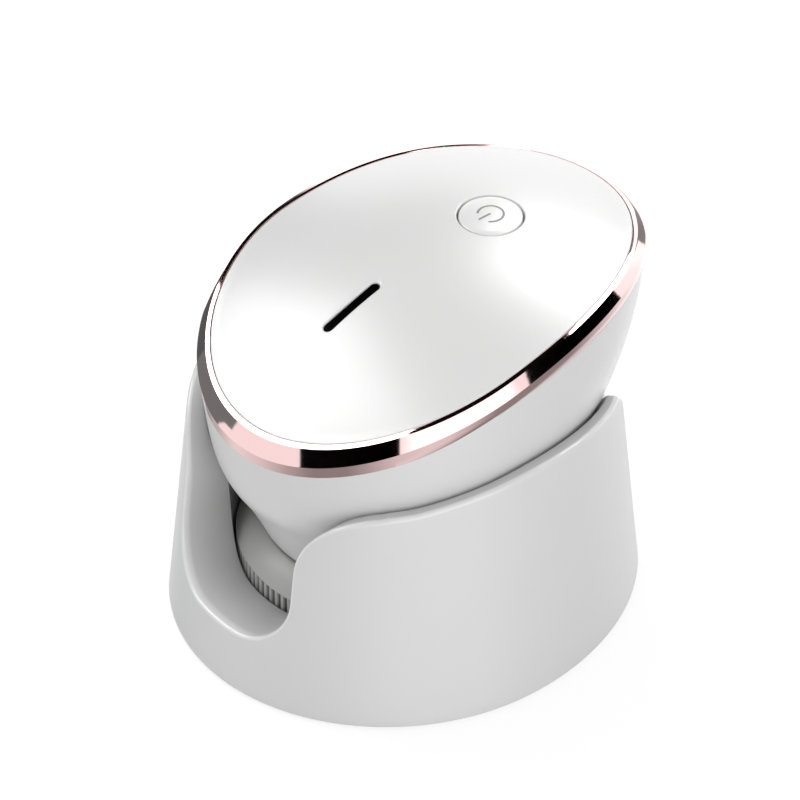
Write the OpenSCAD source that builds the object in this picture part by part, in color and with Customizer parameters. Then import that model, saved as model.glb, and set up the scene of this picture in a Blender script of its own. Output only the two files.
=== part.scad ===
// Facial cleansing massager with a spinning brush head, standing head down in its holder.
// +Z is up, -Y is the front with the holder's cut-out, and the origin is on the floor
// under the middle of the whole object.

/* [Holder] */
// Width of the holder's foot
base_w = 80; // [78:1:96]
// Foot from its widest line to the front
base_front = 41.8; // [41:0.1:50]
// Foot from its widest line to the back
base_rear = 46.4; // [45.8:0.1:56]
// Lean of the outer wall, in degrees
wall_draft = 5.7; // [3:0.1:6.2]
// Highest point of the lip above the floor
lip_peak = 47; // [44:0.5:49]
// Radius of the lip's arch seen from the side
lip_arc = 96; // [84:1:104]
// How far the arch's top lies behind the foot's widest line
lip_back = 1; // [-3:0.5:2]
// How far in front of the arch's top the lip begins to level out
lip_front = 19; // [17:0.5:21]
// Where the lip turns down to the back, behind the foot's widest line
back_start = 30.8; // [30.4:0.2:32]
// Steepness of that fall, drop over run
back_fall = 1.35; // [1.1:0.05:1.45]
// Wall of the holder
stand_wall = 2.2; // [1.8:0.1:2.6]
// Rounding of the lip's outer edge
lip_round = 0.8; // [0.4:0.1:1.2]
// Thickness of the bottom plate
plate_t = 1.6; // [1.2:0.1:1.8]
// Floor of the cup
cup_floor = 1.4; // [1:0.1:1.6]
// Height of the plate above the floor
plate_lift = 0.6; // [0.4:0.1:0.8]

/* [Cut-out] */
// Width of the cut-out
notch_w = 31; // [26:0.5:33]
// Sill above the floor, at the outer wall
sill_z = 12.6; // [11:0.1:15]
// Radius of the cut-out's lower corners
notch_corner = 11; // [6:0.5:11.5]
// Radius of its upper shoulders
notch_shoulder = 14; // [10:0.5:14.5]
// Drop of the shoulders' tops below the lip's highest point
shoulder_drop = 2.7; // [2:0.1:3.5]

/* [Handheld outline] */
// Width of the cover at its rim
rim_w = 62.4; // [60:0.2:64]
// Cover from its widest line to the front
rim_front = 33; // [31:0.5:35]
// Cover from its widest line to the back
rim_rear = 47; // [44:0.5:47.5]
// Height of the rim at its middle
rim_z = 66; // [65.5:0.5:69]
// Rise of the rim towards the back, in degrees
rim_slope = 13.2; // [12:0.1:15]
// Radius of the rim's bend seen from the side
rim_arc = 134; // [125:1:150]
// Lift of the rim at the sides
rim_flare = 0.4; // [0:0.1:1]
// Crown of the cover above its rim
dome = 4.8; // [3:0.1:6]
// Wall of the cover
cover_wall = 1.8; // [1.4:0.1:2.4]
// Wall of the lower housing
housing_wall = 2; // [1.6:0.1:2.4]

/* [Bezel] */
// Width of the flat upper band
bezel_flat = 0.95; // [0.6:0.05:1.4]
// How far the bezel stands out past the cover
bezel_out = 2.5; // [2.2:0.1:2.8]
// Main band's height at the front
band_front = 2.6; // [1.8:0.1:3]
// Main band's height at the back
band_rear = 1.2; // [0.9:0.1:2]
// Height of the whole bezel
bezel_h = 4.1; // [3.5:0.1:5]

/* [Brush head] */
// Radius of the ribbed rim
head_r = 27.25; // [25:0.05:27.6]
// Underside of the ribbed rim above the floor
head_low = 9.9; // [9.6:0.1:11]
// Top of the ribbed band above the floor
band_z = 14.4; // [13:0.1:15]
// Radius of the neck
neck_r = 22.9; // [21:0.1:23.4]
// Seam between the head and the housing above the floor
neck_z = 19.1; // [18:0.1:20]
// Running gap at the seam
neck_gap = 0.3; // [0.25:0.05:0.6]
// Number of ribs
rib_count = 112; // [80:1:120]
// Depth of the grooves between the ribs
rib_deep = 0.5; // [0.3:0.1:0.7]
// Length of the bristles
bristle_len = 7; // [5:0.1:7.2]
// Distance between the rings of bristles
ring_step = 2.5; // [2.4:0.1:3]
// Distance between the bristles of a ring
bristle_step = 1.75; // [1.7:0.05:2.2]

/* [Button and light] */
// Radius of the power button
button_r = 5.8; // [5:0.1:6.4]
// Button's place behind the cover's widest line
button_back = 21.2; // [18:0.2:24]
// Travel of the button
button_travel = 0.5; // [0.3:0.1:0.6]
// Gap round the button
button_gap = 0.15; // [0.1:0.05:0.25]
// Radius of the power symbol's arc
symbol_r = 2.3; // [1.6:0.1:3]
// Width of its lines
symbol_w = 0.45; // [0.3:0.05:0.7]
// Light slot's length
slot_len = 12.5; // [9:0.1:14]
// Light slot's width
slot_w = 1.4; // [1.2:0.1:2.4]
// Light slot's place in front of the cover's widest line
slot_ahead = 9.6; // [7:0.2:11]

/* [Drive] */
// Radius of the spindle
spindle_r = 2.5; // [2:0.1:2.8]
// Module of the gears
gear_module = 0.6; // [0.55:0.01:0.62]
// Teeth of the gear on the spindle
spindle_teeth = 40; // [36:1:40]
// Teeth of the idler's large wheel
idler_teeth = 30; // [26:1:30]
// Teeth of both small wheels
pinion_teeth = 10; // [10:1:12]
// Radius of the motor
motor_r = 10; // [8:0.5:10]
// Length of the motor's can
motor_len = 16; // [12:0.5:16]
// Radial clearance of a running shaft
run_gap = 0.03; // [0.02:0.01:0.08]

/* [Fits] */
// Gap between the seated handheld and the holder
seat_gap = 0.5; // [0.35:0.05:0.8]
// Gap between the brush head and its cup
cup_gap = 0.35; // [0.3:0.05:0.8]
// Gap between fitted pieces
fit_gap = 0.1; // [0.05:0.05:0.2]

/* [Hidden] */
$fn = 96;
sides = 96;
coarse = 48;

rim_half = rim_w / 2;
bezel_reach = rim_rear + bezel_out;
seat_out = bezel_out - 0.3;
hand_back = -0.1;
head_back = -1.9;
wide_y = -(hand_back + bezel_reach - base_front) / 2;
hand_y = wide_y + hand_back;
head_y = wide_y + head_back;
lip_y = wide_y + lip_back;
seam = 0.05;

foot_z = 0.4;
plate_z = plate_lift + plate_t;
cup_z = plate_z + cup_floor;
cup_wall = 1.8;
cup_slope = 0.05;
lip_level = 9;
back_ease = 1.5;
shoulder_turn = 81;
ramp = [1.6, 40];
notch_reach = 24;
notch_split = 12;
cup_top = 36;
boss_r = 3.2;
boss_top = 12;
boss_angles = [40, 140, 270];
base_screw = [1.9, 0.8, 0.99, 7];
foot_inset = 3.2;
foot_width = 2.2;
foot_deep = 0.6;

housing_floor = 2.2;
belly_front = [0.77, 0.65, 0.78, 0.31];
belly_rear = [0.78, 0.29, 1, 0.8];
port_steps = [0.7, 0.8, 0.9, 1];
belly_steps = [0, 0.06, 0.13, 0.21, 0.3, 0.4, 0.5, 0.6, 0.7, 0.8, 0.9, 1];
hollow_steps = [0, 0.15, 0.3, 0.5, 0.75, 1];

skirt_in = 2.4;
skirt_out = 1;
skirt_drop = bezel_h + 1.9;
edge_round = 0.2;

button_y = hand_y + button_back;
button_top = cover_z_at(0, button_back) + 0.25;
button_dome = 0.45;
symbol_deep = 0.12;
symbol_gap = 46;
symbol_out = 2.6;
button_cap = 3.3;
flange_r = button_r + 1.2;
flange_t = 0.7;
flange_play = 0.3;
well_r = flange_r + 0.3;
well_wall = 1.5;
well_low = button_top - button_cap - 3;
stem_r = 1.6;
seal_t = 0.6;
seal_z = button_top - button_cap - button_travel - 0.9;

slot_y = hand_y - slot_ahead;
slot_z = cover_z_at(0, -slot_ahead);
slot_tilt = atan(tan(rim_slope) + slot_ahead / rim_arc + 2 * dome * slot_ahead / pow(rim_front, 2));
window_len = 3.4;
window_sink = 0.1;
slot_arc = 1 / (1 / rim_arc + 2 * dome / pow(rim_front, 2));

pcb_top = rim_z - 4;
pcb_t = 1.2;
pcb_half = 20;
pcb_front = 13.2;
pcb_rear = 47.8;
pcb_cut = 43.5;
pcb_y = wide_y;
pcb_boss_x = 14.5;
pcb_boss_y = [-1, 26];
pcb_boss_r = 2.4;
boss_cover = 0.6;
pcb_screw_r = 0.8;
pcb_screw = [1.9, 0.9, pcb_screw_r - 0.01, pcb_t + 2];
pad_t = 0.8;
pad_in = 2;
cell_size = [23, 38, 6.2];
cell_y = wide_y + 8.5;
switch_size = [6, 6, 3.5];
switch_pin = 1.6;
socket_size = [9, 7, 3.2];
socket_y = wide_y + 38;
port_size = [13, 7];
port_deep = 1.2;
port_z = pcb_top - pcb_t - socket_size.z / 2;

gear_low = neck_z + 6.7;
spindle_gear_t = 2.6;
idler_small_t = 3.2;
idler_big_t = 2.6;
pinion_low = gear_low + idler_small_t - 0.1;
pinion_t = idler_big_t + 0.2;
deck_z = gear_low + idler_small_t + idler_big_t + 0.8;
deck_t = 2;
clip_z = deck_z + deck_t + 0.8;
bush_wall = 1.2;
bush_top = gear_low - 0.5;
idler_r = 1.2;
idler_dir = 120;
motor_dir = 10;
idler_x = (spindle_teeth + pinion_teeth) * gear_module / 2 * cos(idler_dir);
idler_y = head_y + (spindle_teeth + pinion_teeth) * gear_module / 2 * sin(idler_dir);
motor_x = idler_x + (idler_teeth + pinion_teeth) * gear_module / 2 * cos(motor_dir);
motor_y = idler_y + (idler_teeth + pinion_teeth) * gear_module / 2 * sin(motor_dir);
motor_boss_r = 3;
motor_screw_reach = 6.5;
motor_screw_dirs = [100, 280];
shaft_r = 1;
motor_screw = [1.6, 0.7, 0.79, deck_t + 2];
post_r = 2.6;
post_x = [15, 13];
post_y = [-11, 23];
post_screw_r = 0.9;
post_screw = [2, 1.1, post_screw_r - 0.01, deck_t + 5];
hex_r = 3.6;
hex_low = head_low + 4.1;
seal_r = 5.5;
seal_low = neck_z + 0.2;
seal_top = neck_z + 1.9;

head_top = neck_z - 2 * neck_gap;
head_roof = head_low + 3.1;
skirt_wall = 1.6;
brim = 0.3;
tuft_t = 1.2;
slice_t = 0.6;
tuft_r = head_r - skirt_wall - 0.1;
bristle_r = 0.45;
pressure = 25;
tooth_up = 0.8;
tooth_down = 1.05;
tooth_play = 0.05;
flank_steps = 3;

// Height of the rim, and of the cover's outside, over a point given from the handheld's centre
function lobe(a, front, rear) = sin(a) < 0 ? front : rear;
function reach(y) = y < 0 ? rim_front : rim_rear;
function rim_z_at(x, y) = rim_z + y * tan(rim_slope) - y * y / (2 * rim_arc)
    + rim_flare * pow(x / rim_half, 2);
function cover_z_at(x, y) = rim_z_at(x, y) + dome * (1 - pow(x / rim_half, 2) - pow(y / reach(y), 2));

// Egg outline made of two half ellipses that meet at its widest line
function egg(w, front, rear, n = sides) =
    [for (i = [0 : n - 1]) let (a = 360 * i / n) [w * cos(a), lobe(a, front, rear) * sin(a)]];

// Ring that follows the cover's rim, moved out and dropped
function rim_ring(out, drop, n = sides) =
    [for (p = egg(rim_half + out, rim_front + out, rim_rear + out, n))
        [p.x, hand_y + p.y, rim_z_at(p.x, p.y) - drop]];
function band_ring(out) =
    [for (p = egg(rim_half + out, rim_front + out, rim_rear + out))
        let (along = (p.y + rim_front) / (rim_front + rim_rear))
        [p.x, hand_y + p.y, rim_z_at(p.x, p.y) - band_front - (band_rear - band_front) * along]];
function cover_ring(share, down, n = sides) =
    [for (p = egg(rim_half * share, rim_front * share, rim_rear * share, n))
        [p.x, hand_y + p.y, cover_z_at(p.x, p.y) - down]];

// Belly of the housing: from the round neck (s = 0) up to the egg under the bezel (s = 1)
function bezier(s, c1, c2) = 3 * s * pow(1 - s, 2) * c1 + 3 * s * s * (1 - s) * c2 + pow(s, 3);
function turn(a, k) = belly_front[k] + (belly_rear[k] - belly_front[k]) * (1 + sin(a)) / 2;
function belly_point(a, s, grow, lift) =
    let (x = (rim_half + seat_out + grow) * cos(a),
        y = (lobe(a, rim_front, rim_rear) + seat_out + grow) * sin(a),
        high = [x, hand_y + y, rim_z_at(x, y) - bezel_h - seam],
        low = [(neck_r + grow) * cos(a), head_y + (neck_r + grow) * sin(a), neck_z + lift],
        out = bezier(s, turn(a, 0), turn(a, 2)),
        up = bezier(s, turn(a, 1), turn(a, 3)))
    [low.x + (high.x - low.x) * out, low.y + (high.y - low.y) * out, low.z + (high.z - low.z) * up];
function belly_ring(s, grow = 0, lift = 0, n = sides) =
    [for (i = [0 : n - 1]) belly_point(360 * i / n, s, grow, lift)];

// Outer wall of the holder, drawn in as it rises, and its lip: arched, and falling away at the
// back so that the socket can be reached
function lip_z_at(y) =
    let (arched = max(y - lip_y, -lip_front), run = min(max(lip_y - lip_front - y, 0), lip_level),
        past = max(y - wide_y - back_start, 0))
    lip_peak - pow(arched, 2) / (2 * lip_arc) - run * lip_front / lip_arc * (1 - run / (2 * lip_level))
        - back_fall * (norm([past, back_ease]) - back_ease);
function wall_ring(z, inset, n = sides) =
    let (in = z * tan(wall_draft) + inset)
    [for (p = egg(base_w / 2 - in, base_front - in, base_rear - in, n)) [p.x, wide_y + p.y, z]];
function lip_ring(down, inset, n = sides) =
    let (mean_in = lip_peak * tan(wall_draft) + inset)
    [for (i = [0 : n - 1])
        let (a = 360 * i / n,
            y = wide_y + (lobe(a, base_front, base_rear) - mean_in) * sin(a),
            z = lip_z_at(y) - down,
            in = z * tan(wall_draft) + inset)
        [(base_w / 2 - in) * cos(a), wide_y + (lobe(a, base_front, base_rear) - in) * sin(a), z]];

function middle(ring) = [for (k = [0 : 2]) [for (p = ring) p[k]] * [for (p = ring) 1] / len(ring)];

// Skin over a stack of rings, closed at both ends
module skin(rings) {
    n = len(rings[0]);
    m = len(rings);
    side_faces = [for (j = [0 : m - 2], i = [0 : n - 1])
        let (k = (i + 1) % n, a = j * n + i, b = j * n + k, c = (j + 1) * n + k, d = (j + 1) * n + i)
        each [[a, d, c], [a, c, b]]];
    low_faces = [for (i = [0 : n - 1]) [m * n, i, (i + 1) % n]];
    high_faces = [for (i = [0 : n - 1]) [m * n + 1, (m - 1) * n + (i + 1) % n, (m - 1) * n + i]];
    polyhedron(points = concat([for (r = rings) each r], [middle(rings[0]), middle(rings[m - 1])]),
        faces = concat(side_faces, low_faces, high_faces));
}

// Closed hoop whose section's corners are given as rings
module hoop(rings) {
    n = len(rings[0]);
    m = len(rings);
    polyhedron(points = [for (r = rings) each r],
        faces = [for (j = [0 : m - 1], i = [0 : n - 1])
            let (k = (i + 1) % n, u = (j + 1) % m,
                a = j * n + i, b = j * n + k, c = u * n + k, d = u * n + i)
            each [[a, d, c], [a, c, b]]]);
}

module at_spindle(z) {
    translate([0, head_y, z]) children();
}

module tube(outer, inner, h) {
    difference() {
        cylinder(r = outer, h = h);
        translate([0, 0, -1]) cylinder(r = inner, h = h + 2);
    }
}

// Holder

function arc(cx, cy, r, from, to, n = 12) =
    [for (i = [0 : n]) let (a = from + (to - from) * i / n) [cx + r * cos(a), cy + r * sin(a)]];

// Outline of the cut-out in front view, from the left over the sill to the right
function notch_outline(grow) =
    let (half = notch_w / 2 + grow, low = notch_corner + grow, bend = notch_shoulder - grow,
        shoulder = arc(half + bend, lip_peak - shoulder_drop - notch_shoulder, bend, 180,
            180 - shoulder_turn),
        knee = shoulder[len(shoulder) - 1],
        right = concat(arc(half - low, sill_z - grow + low, low, 270, 360), shoulder,
            [knee + ramp[0] * [cos(ramp[1]), sin(ramp[1])], [knee.x + 3, lip_peak + 20]]))
    concat([for (i = [len(right) - 1 : -1 : 0]) [-right[i].x, right[i].y]], right);

// The cut is level, but its sill and lower corners fall inwards, square to the wall
module notch(grow = 0) {
    outline = notch_outline(grow);
    n = len(outline);
    face_y = wide_y - base_front + sill_z * tan(wall_draft);
    function cut_at(reach) = [for (p = outline) [p.x, face_y + reach,
        p.y - (p.y < sill_z + notch_split ? reach * tan(wall_draft) : 0)]];
    polyhedron(points = concat(cut_at(-10), cut_at(notch_reach)),
        faces = concat([[for (i = [n - 1 : -1 : 0]) i], [for (i = [0 : n - 1]) n + i]],
            [for (i = [0 : n - 1]) let (k = (i + 1) % n) each [[i, k, n + k], [i, n + k, n + i]]]));
}

function cup_r_at(z) = head_r + cup_gap + (z - head_low) * cup_slope;

module cup(grow = 0) {
    low_z = grow > 0 ? plate_z : cup_z;
    at_spindle(low_z)
        cylinder(r1 = cup_r_at(low_z) + grow, r2 = cup_r_at(cup_top) + grow, h = cup_top - low_z);
}

module bowl(grow = 0) {
    out = seat_gap + grow;
    skin([for (s = grow > 0 ? hollow_steps : belly_steps)
        belly_ring(s, out, -out, grow > 0 ? coarse : sides)]);
}

module boss_spots() {
    reach = cup_r_at(plate_z) + cup_wall + boss_r - 0.7;
    for (a = boss_angles) translate([reach * cos(a), head_y + reach * sin(a), 0]) children();
}

module stand_hollow() {
    difference() {
        skin([wall_ring(-1, stand_wall, coarse), wall_ring(plate_z, stand_wall, coarse),
            lip_ring(stand_wall + 0.8, stand_wall, coarse)]);
        cup(cup_wall);
        bowl(cup_wall);
        notch(stand_wall);
        boss_spots() translate([0, 0, plate_z]) cylinder(r = boss_r, h = boss_top - plate_z, $fn = 32);
    }
}

module stand_shell() {
    color("whitesmoke") difference() {
        skin([wall_ring(foot_z, 0.5), wall_ring(foot_z + 0.5, 0), lip_ring(lip_round, 0),
            lip_ring(lip_round * 0.3, lip_round * 0.3), lip_ring(0, lip_round)]);
        cup();
        bowl();
        notch();
        stand_hollow();
        boss_spots() translate([0, 0, plate_z - 1]) cylinder(r = 1, h = boss_top - plate_z - 1, $fn = 32);
    }
}

module foot_outline(inset) {
    translate([0, wide_y]) polygon(egg(base_w / 2 - inset, base_front - inset, base_rear - inset));
}

module base_plate() {
    color("gainsboro") difference() {
        translate([0, 0, plate_lift]) linear_extrude(plate_t)
            foot_outline(stand_wall + plate_z * tan(wall_draft) + fit_gap);
        translate([0, 0, plate_lift - 1]) linear_extrude(foot_deep + 1) difference() {
            foot_outline(foot_inset);
            foot_outline(foot_inset + foot_width);
        }
        boss_spots() {
            translate([0, 0, plate_lift - 1]) cylinder(r = 1.1, h = plate_t + 2, $fn = 32);
            translate([0, 0, plate_lift - 1]) cylinder(r = 2.2, h = 1.9, $fn = 32);
        }
    }
}

module foot_ring() {
    color("dimgray") linear_extrude(plate_lift + foot_deep) difference() {
        foot_outline(foot_inset + 0.02);
        foot_outline(foot_inset + foot_width - 0.02);
    }
}

// Screw given by its head's radius and height and its shank's radius and length
module screw(size) {
    cylinder(r = size[0], h = size[1], $fn = 32);
    cylinder(r = size[2], h = size[1] + size[3], $fn = 32);
}

module base_screws() {
    color("silver") boss_spots() translate([0, 0, plate_lift + 0.1]) screw(base_screw);
}

// Handheld casing

module belly(grow = 0, lift = 0) {
    skin(concat([for (s = belly_steps) belly_ring(s, grow, lift)],
        [rim_ring(seat_out + grow - 3, bezel_h + seam)]));
}

module belly_back(grow = 0) {
    skin(concat([for (s = port_steps) belly_ring(s, grow)],
        [rim_ring(seat_out + grow - 3, bezel_h + seam)]));
}

module post_spots() {
    for (k = [0, 1], side = [-1, 1]) translate([side * post_x[k], wide_y + post_y[k], 0]) children();
}

module port_block(shrink, from_y, to_y, r) {
    w = port_size.x - 2 * shrink;
    h = port_size.y - 2 * shrink;
    translate([0, from_y, port_z]) rotate([-90, 0, 0]) linear_extrude(to_y - from_y) union() {
        square([w - 2 * r, h], center = true);
        square([w, h - 2 * r], center = true);
        for (sx = [-1, 1], sy = [-1, 1]) translate([sx * (w / 2 - r), sy * (h / 2 - r)]) circle(r);
    }
}

module lower_housing() {
    color("whitesmoke") difference() {
        belly();
        difference() {
            skin(concat([for (s = hollow_steps) belly_ring(s, -housing_wall, housing_floor, coarse)],
                [rim_ring(seat_out - housing_wall, -4, coarse)]));
            at_spindle(0) cylinder(r = seal_r + 1.5, h = bush_top);
            translate([idler_x, idler_y, 0]) cylinder(r = post_r, h = bush_top, $fn = 32);
            post_spots() cylinder(r = post_r, h = deck_z, $fn = 32);
        }
        at_spindle(0) cylinder(r = seal_r, h = seal_top);
        at_spindle(0) cylinder(r = spindle_r + bush_wall, h = deck_z);
        translate([idler_x, idler_y, neck_z + 2.5]) cylinder(r = idler_r, h = deck_z, $fn = 32);
        post_spots() translate([0, 0, deck_z - 6]) cylinder(r = post_screw_r, h = 10, $fn = 32);
        port_block(2, hand_y + rim_rear - 8, hand_y + rim_rear + 8, 1.4);
        difference() {
            port_block(0, hand_y + rim_rear - 8, hand_y + rim_rear + 8, 2);
            belly_back(-port_deep);
        }
    }
}

module neck_trim() {
    color("saddlebrown") at_spindle(neck_z - neck_gap) tube(neck_r - 0.15, neck_r - 2, neck_gap);
}

module bezel_ring() {
    inner = fit_gap;
    color("rosybrown") hoop([
        rim_ring(bezel_out - 0.05, bezel_h),
        band_ring(bezel_out),
        rim_ring(bezel_flat + (bezel_out - bezel_flat) * 0.62, 0.2 + band_rear * 0.45),
        rim_ring(bezel_flat, 0.2),
        rim_ring(inner, 0),
        rim_ring(inner, cover_wall + fit_gap),
        rim_ring(-skirt_out + fit_gap, cover_wall + fit_gap),
        rim_ring(-skirt_out + fit_gap, bezel_h)]);
}

module pcb_boss_spots() {
    for (y = pcb_boss_y, side = [-1, 1]) translate([side * pcb_boss_x, wide_y + y, 0]) children();
}

module slot_prism(grow, from, to) {
    translate([0, slot_y, slot_z]) rotate([slot_tilt, 0, 0]) translate([0, 0, from])
        linear_extrude(to - from) union() {
            square([slot_w + 2 * grow, slot_len - slot_w], center = true);
            for (s = [-1, 1]) translate([0, s * (slot_len - slot_w) / 2]) circle(slot_w / 2 + grow);
        }
}

module top_cover() {
    color("white") difference() {
        union() {
            skin([cover_ring(0.15, cover_wall), cover_ring(0.5, cover_wall), cover_ring(0.8, cover_wall),
                rim_ring(-skirt_in, cover_wall), rim_ring(-skirt_in, skirt_drop),
                rim_ring(-skirt_out, skirt_drop), rim_ring(-skirt_out, cover_wall),
                rim_ring(0, cover_wall), rim_ring(0, edge_round),
                cover_ring(1 - edge_round / rim_half, 0), cover_ring(0.94, 0), cover_ring(0.84, 0),
                cover_ring(0.7, 0), cover_ring(0.54, 0), cover_ring(0.37, 0), cover_ring(0.2, 0),
                cover_ring(0.06, 0)]);
            intersection() {
                union() {
                    pcb_boss_spots() translate([0, 0, pcb_top]) cylinder(r = pcb_boss_r, h = 20, $fn = 32);
                    translate([0, button_y, well_low]) cylinder(r = well_r + well_wall, h = 20);
                }
                skin([cover_ring(0.9, 12, coarse), cover_ring(0.9, boss_cover, coarse),
                    cover_ring(0.72, boss_cover, coarse), cover_ring(0.54, boss_cover, coarse),
                    cover_ring(0.36, boss_cover, coarse), cover_ring(0.15, boss_cover, coarse)]);
            }
        }
        translate([0, button_y, well_low - 1]) cylinder(r = button_r + button_gap, h = 20);
        translate([0, button_y, well_low - 1])
            cylinder(r = well_r, h = button_top - button_cap + flange_t + flange_play - well_low + 1);
        slot_prism(fit_gap / 2, -window_len - 4, 4);
        pcb_boss_spots() translate([0, 0, pcb_top - 1]) cylinder(r = pcb_screw_r, h = 3.5, $fn = 32);
    }
}

module cover_gasket() {
    color("darkgray") hoop([
        rim_ring(seat_out - housing_wall - 0.3, bezel_h + 1.6, coarse),
        rim_ring(seat_out - housing_wall - 0.3, bezel_h + 0.6, coarse),
        rim_ring(-skirt_out + 0.15, bezel_h + 0.6, coarse),
        rim_ring(-skirt_out + 0.15, bezel_h + 1.6, coarse)]);
}

module light_window() {
    color("black") intersection() {
        slot_prism(0, -window_len, 1);
        translate([0, slot_y, slot_z]) rotate([slot_tilt, 0, 0])
            translate([-slot_w, 0, -slot_arc - window_sink]) rotate([0, 90, 0])
                cylinder(r = slot_arc, h = 2 * slot_w, $fn = 360);
    }
}

module button_seal() {
    color("gray") translate([0, button_y, seal_z]) tube(well_r - 0.05, stem_r + 0.4, seal_t);
}

module symbol() {
    reach = symbol_r + symbol_w;
    difference() {
        tube(symbol_r + symbol_w / 2, symbol_r - symbol_w / 2, 1);
        translate([0, 0, -1]) linear_extrude(3) polygon([[0, 0],
            [-2 * reach * tan(symbol_gap), -2 * reach], [2 * reach * tan(symbol_gap), -2 * reach]]);
    }
    translate([-symbol_w / 2, -symbol_out, 0]) cube([symbol_w, symbol_out, 1]);
}

module power_button() {
    low = button_top - button_cap;
    switch_top = pcb_top + switch_size.z + switch_pin;
    stem_low = switch_top + 0.3 + button_travel;
    crown = [for (k = [8 : -1 : 0]) [button_r * k / 8 - (k == 8 ? 0.15 : 0),
        button_cap - button_dome * pow(k / 8, 2)]];
    color("white") translate([0, button_y, 0]) {
        difference() {
            translate([0, 0, low]) rotate_extrude() polygon(concat([[0, 0], [flange_r, 0],
                [flange_r, flange_t], [button_r, flange_t],
                [button_r, button_cap - button_dome - 0.15]], crown));
            translate([0, 0, button_top - button_dome * pow(symbol_r / button_r, 2) - symbol_deep])
                symbol();
        }
        translate([0, 0, stem_low]) cylinder(r = stem_r, h = low + 0.5 - stem_low);
    }
}

// Electronics

module circuit_board() {
    color("seagreen") difference() {
        translate([0, pcb_y, pcb_top - pcb_t]) linear_extrude(pcb_t) intersection() {
            polygon(egg(pcb_half, pcb_front, pcb_rear));
            translate([-pcb_half, -pcb_front - 1]) square([2 * pcb_half, pcb_front + 1 + pcb_cut]);
        }
        pcb_boss_spots() translate([0, 0, pcb_top - 3]) cylinder(r = pcb_screw_r + 0.2, h = 6, $fn = 32);
    }
}

module tact_switch() {
    color("black") translate([0, button_y, pcb_top]) {
        translate([-switch_size.x / 2, -switch_size.y / 2, 0]) cube(switch_size);
        cylinder(r = 1.75, h = switch_size.z + switch_pin);
    }
}

module status_led() {
    color("lightyellow") translate([-0.8, slot_y - 1.6, pcb_top]) cube([1.6, 3.2, 0.9]);
}

module pcb_screws() {
    color("silver") pcb_boss_spots() translate([0, 0, pcb_top - pcb_t - pcb_screw[1]])
        screw(pcb_screw);
}

module battery_cell() {
    color("steelblue") translate([-cell_size.x / 2, cell_y - cell_size.y / 2,
        pcb_top - pcb_t - pad_t - cell_size.z]) cube(cell_size);
}

module battery_pad() {
    color("lightgray") translate([-cell_size.x / 2 + pad_in, cell_y - cell_size.y / 2 + pad_in,
        pcb_top - pcb_t - pad_t]) cube([cell_size.x - 2 * pad_in, cell_size.y - 2 * pad_in, pad_t]);
}

module charge_socket() {
    color("silver") translate([-socket_size.x / 2, socket_y, port_z - socket_size.z / 2])
        cube(socket_size);
}

module port_plug() {
    back = hand_y + rim_rear - 8;
    color("lightgray") difference() {
        intersection() {
            port_block(fit_gap, back, back + 16, 2 - fit_gap);
            belly_back();
        }
        belly_back(-port_deep + fit_gap);
    }
}

// Drive

function involute(a) = tan(a) * 180 / PI - a;
function flank_angle(r, rb, teeth, pitch_r) = 90 / teeth + involute(pressure)
    - involute(acos(min(1, rb / r))) - tooth_play / pitch_r * 180 / PI;

module gear_outline(teeth) {
    pitch_r = teeth * gear_module / 2;
    rb = pitch_r * cos(pressure);
    root = pitch_r - tooth_down * gear_module;
    tip = pitch_r + tooth_up * gear_module;
    start = max(rb, root);
    rise = [for (k = [0 : flank_steps]) start + (tip - start) * k / flank_steps];
    half = concat(root < rb ? [[root, flank_angle(rb, rb, teeth, pitch_r)]] : [],
        [for (r = rise) [r, flank_angle(r, rb, teeth, pitch_r)]]);
    polygon([for (i = [0 : teeth - 1]) let (a = 360 * i / teeth) each concat(
        [for (p = half) [p[0] * cos(a - p[1]), p[0] * sin(a - p[1])]],
        [for (k = [len(half) - 1 : -1 : 0])
            [half[k][0] * cos(a + half[k][1]), half[k][0] * sin(a + half[k][1])]])]);
}

module wheel(teeth, h, phase) {
    rotate([0, 0, phase]) linear_extrude(h) gear_outline(teeth);
}

module deck_hole_spots() {
    for (a = motor_screw_dirs)
        translate([motor_x + motor_screw_reach * cos(a), motor_y + motor_screw_reach * sin(a), 0])
            children();
}

module gearbox_plate() {
    color("silver") difference() {
        hull() post_spots() translate([0, 0, deck_z]) cylinder(r = post_r + 0.3, h = deck_t, $fn = 32);
        at_spindle(0) cylinder(r = spindle_r + bush_wall, h = 60);
        translate([motor_x, motor_y, 0]) cylinder(r = motor_boss_r + 0.05, h = 60);
        translate([idler_x, idler_y, 0]) cylinder(r = idler_r, h = 60, $fn = 32);
        deck_hole_spots() cylinder(r = 1.05, h = 60, $fn = 32);
        post_spots() cylinder(r = 1.1, h = 60, $fn = 32);
    }
}

module gearbox_screws() {
    color("silver") post_spots() translate([0, 0, deck_z + deck_t + post_screw[1]])
        rotate([180, 0, 0]) screw(post_screw);
}

module motor_can() {
    color("lightslategray") difference() {
        translate([motor_x, motor_y, 0]) {
            translate([0, 0, deck_z + deck_t]) cylinder(r = motor_r, h = motor_len);
            translate([0, 0, deck_z + 0.3]) cylinder(r = motor_boss_r, h = deck_t);
        }
        translate([motor_x, motor_y, 0]) cylinder(r = shaft_r + run_gap, h = deck_z + motor_len - 1);
        deck_hole_spots() cylinder(r = 0.8, h = deck_z + deck_t + 3, $fn = 32);
    }
}

module motor_endcap() {
    z = deck_z + deck_t + motor_len;
    color("dimgray") translate([motor_x, motor_y, z]) {
        cylinder(r = motor_r - 0.8, h = 1.4);
        for (s = [-1, 1]) translate([s * 5 - 0.9, -0.25, 0]) cube([1.8, 0.5, 2.2]);
    }
}

module motor_screws() {
    color("silver") deck_hole_spots() translate([0, 0, deck_z - motor_screw[1]])
        screw(motor_screw);
}

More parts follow.
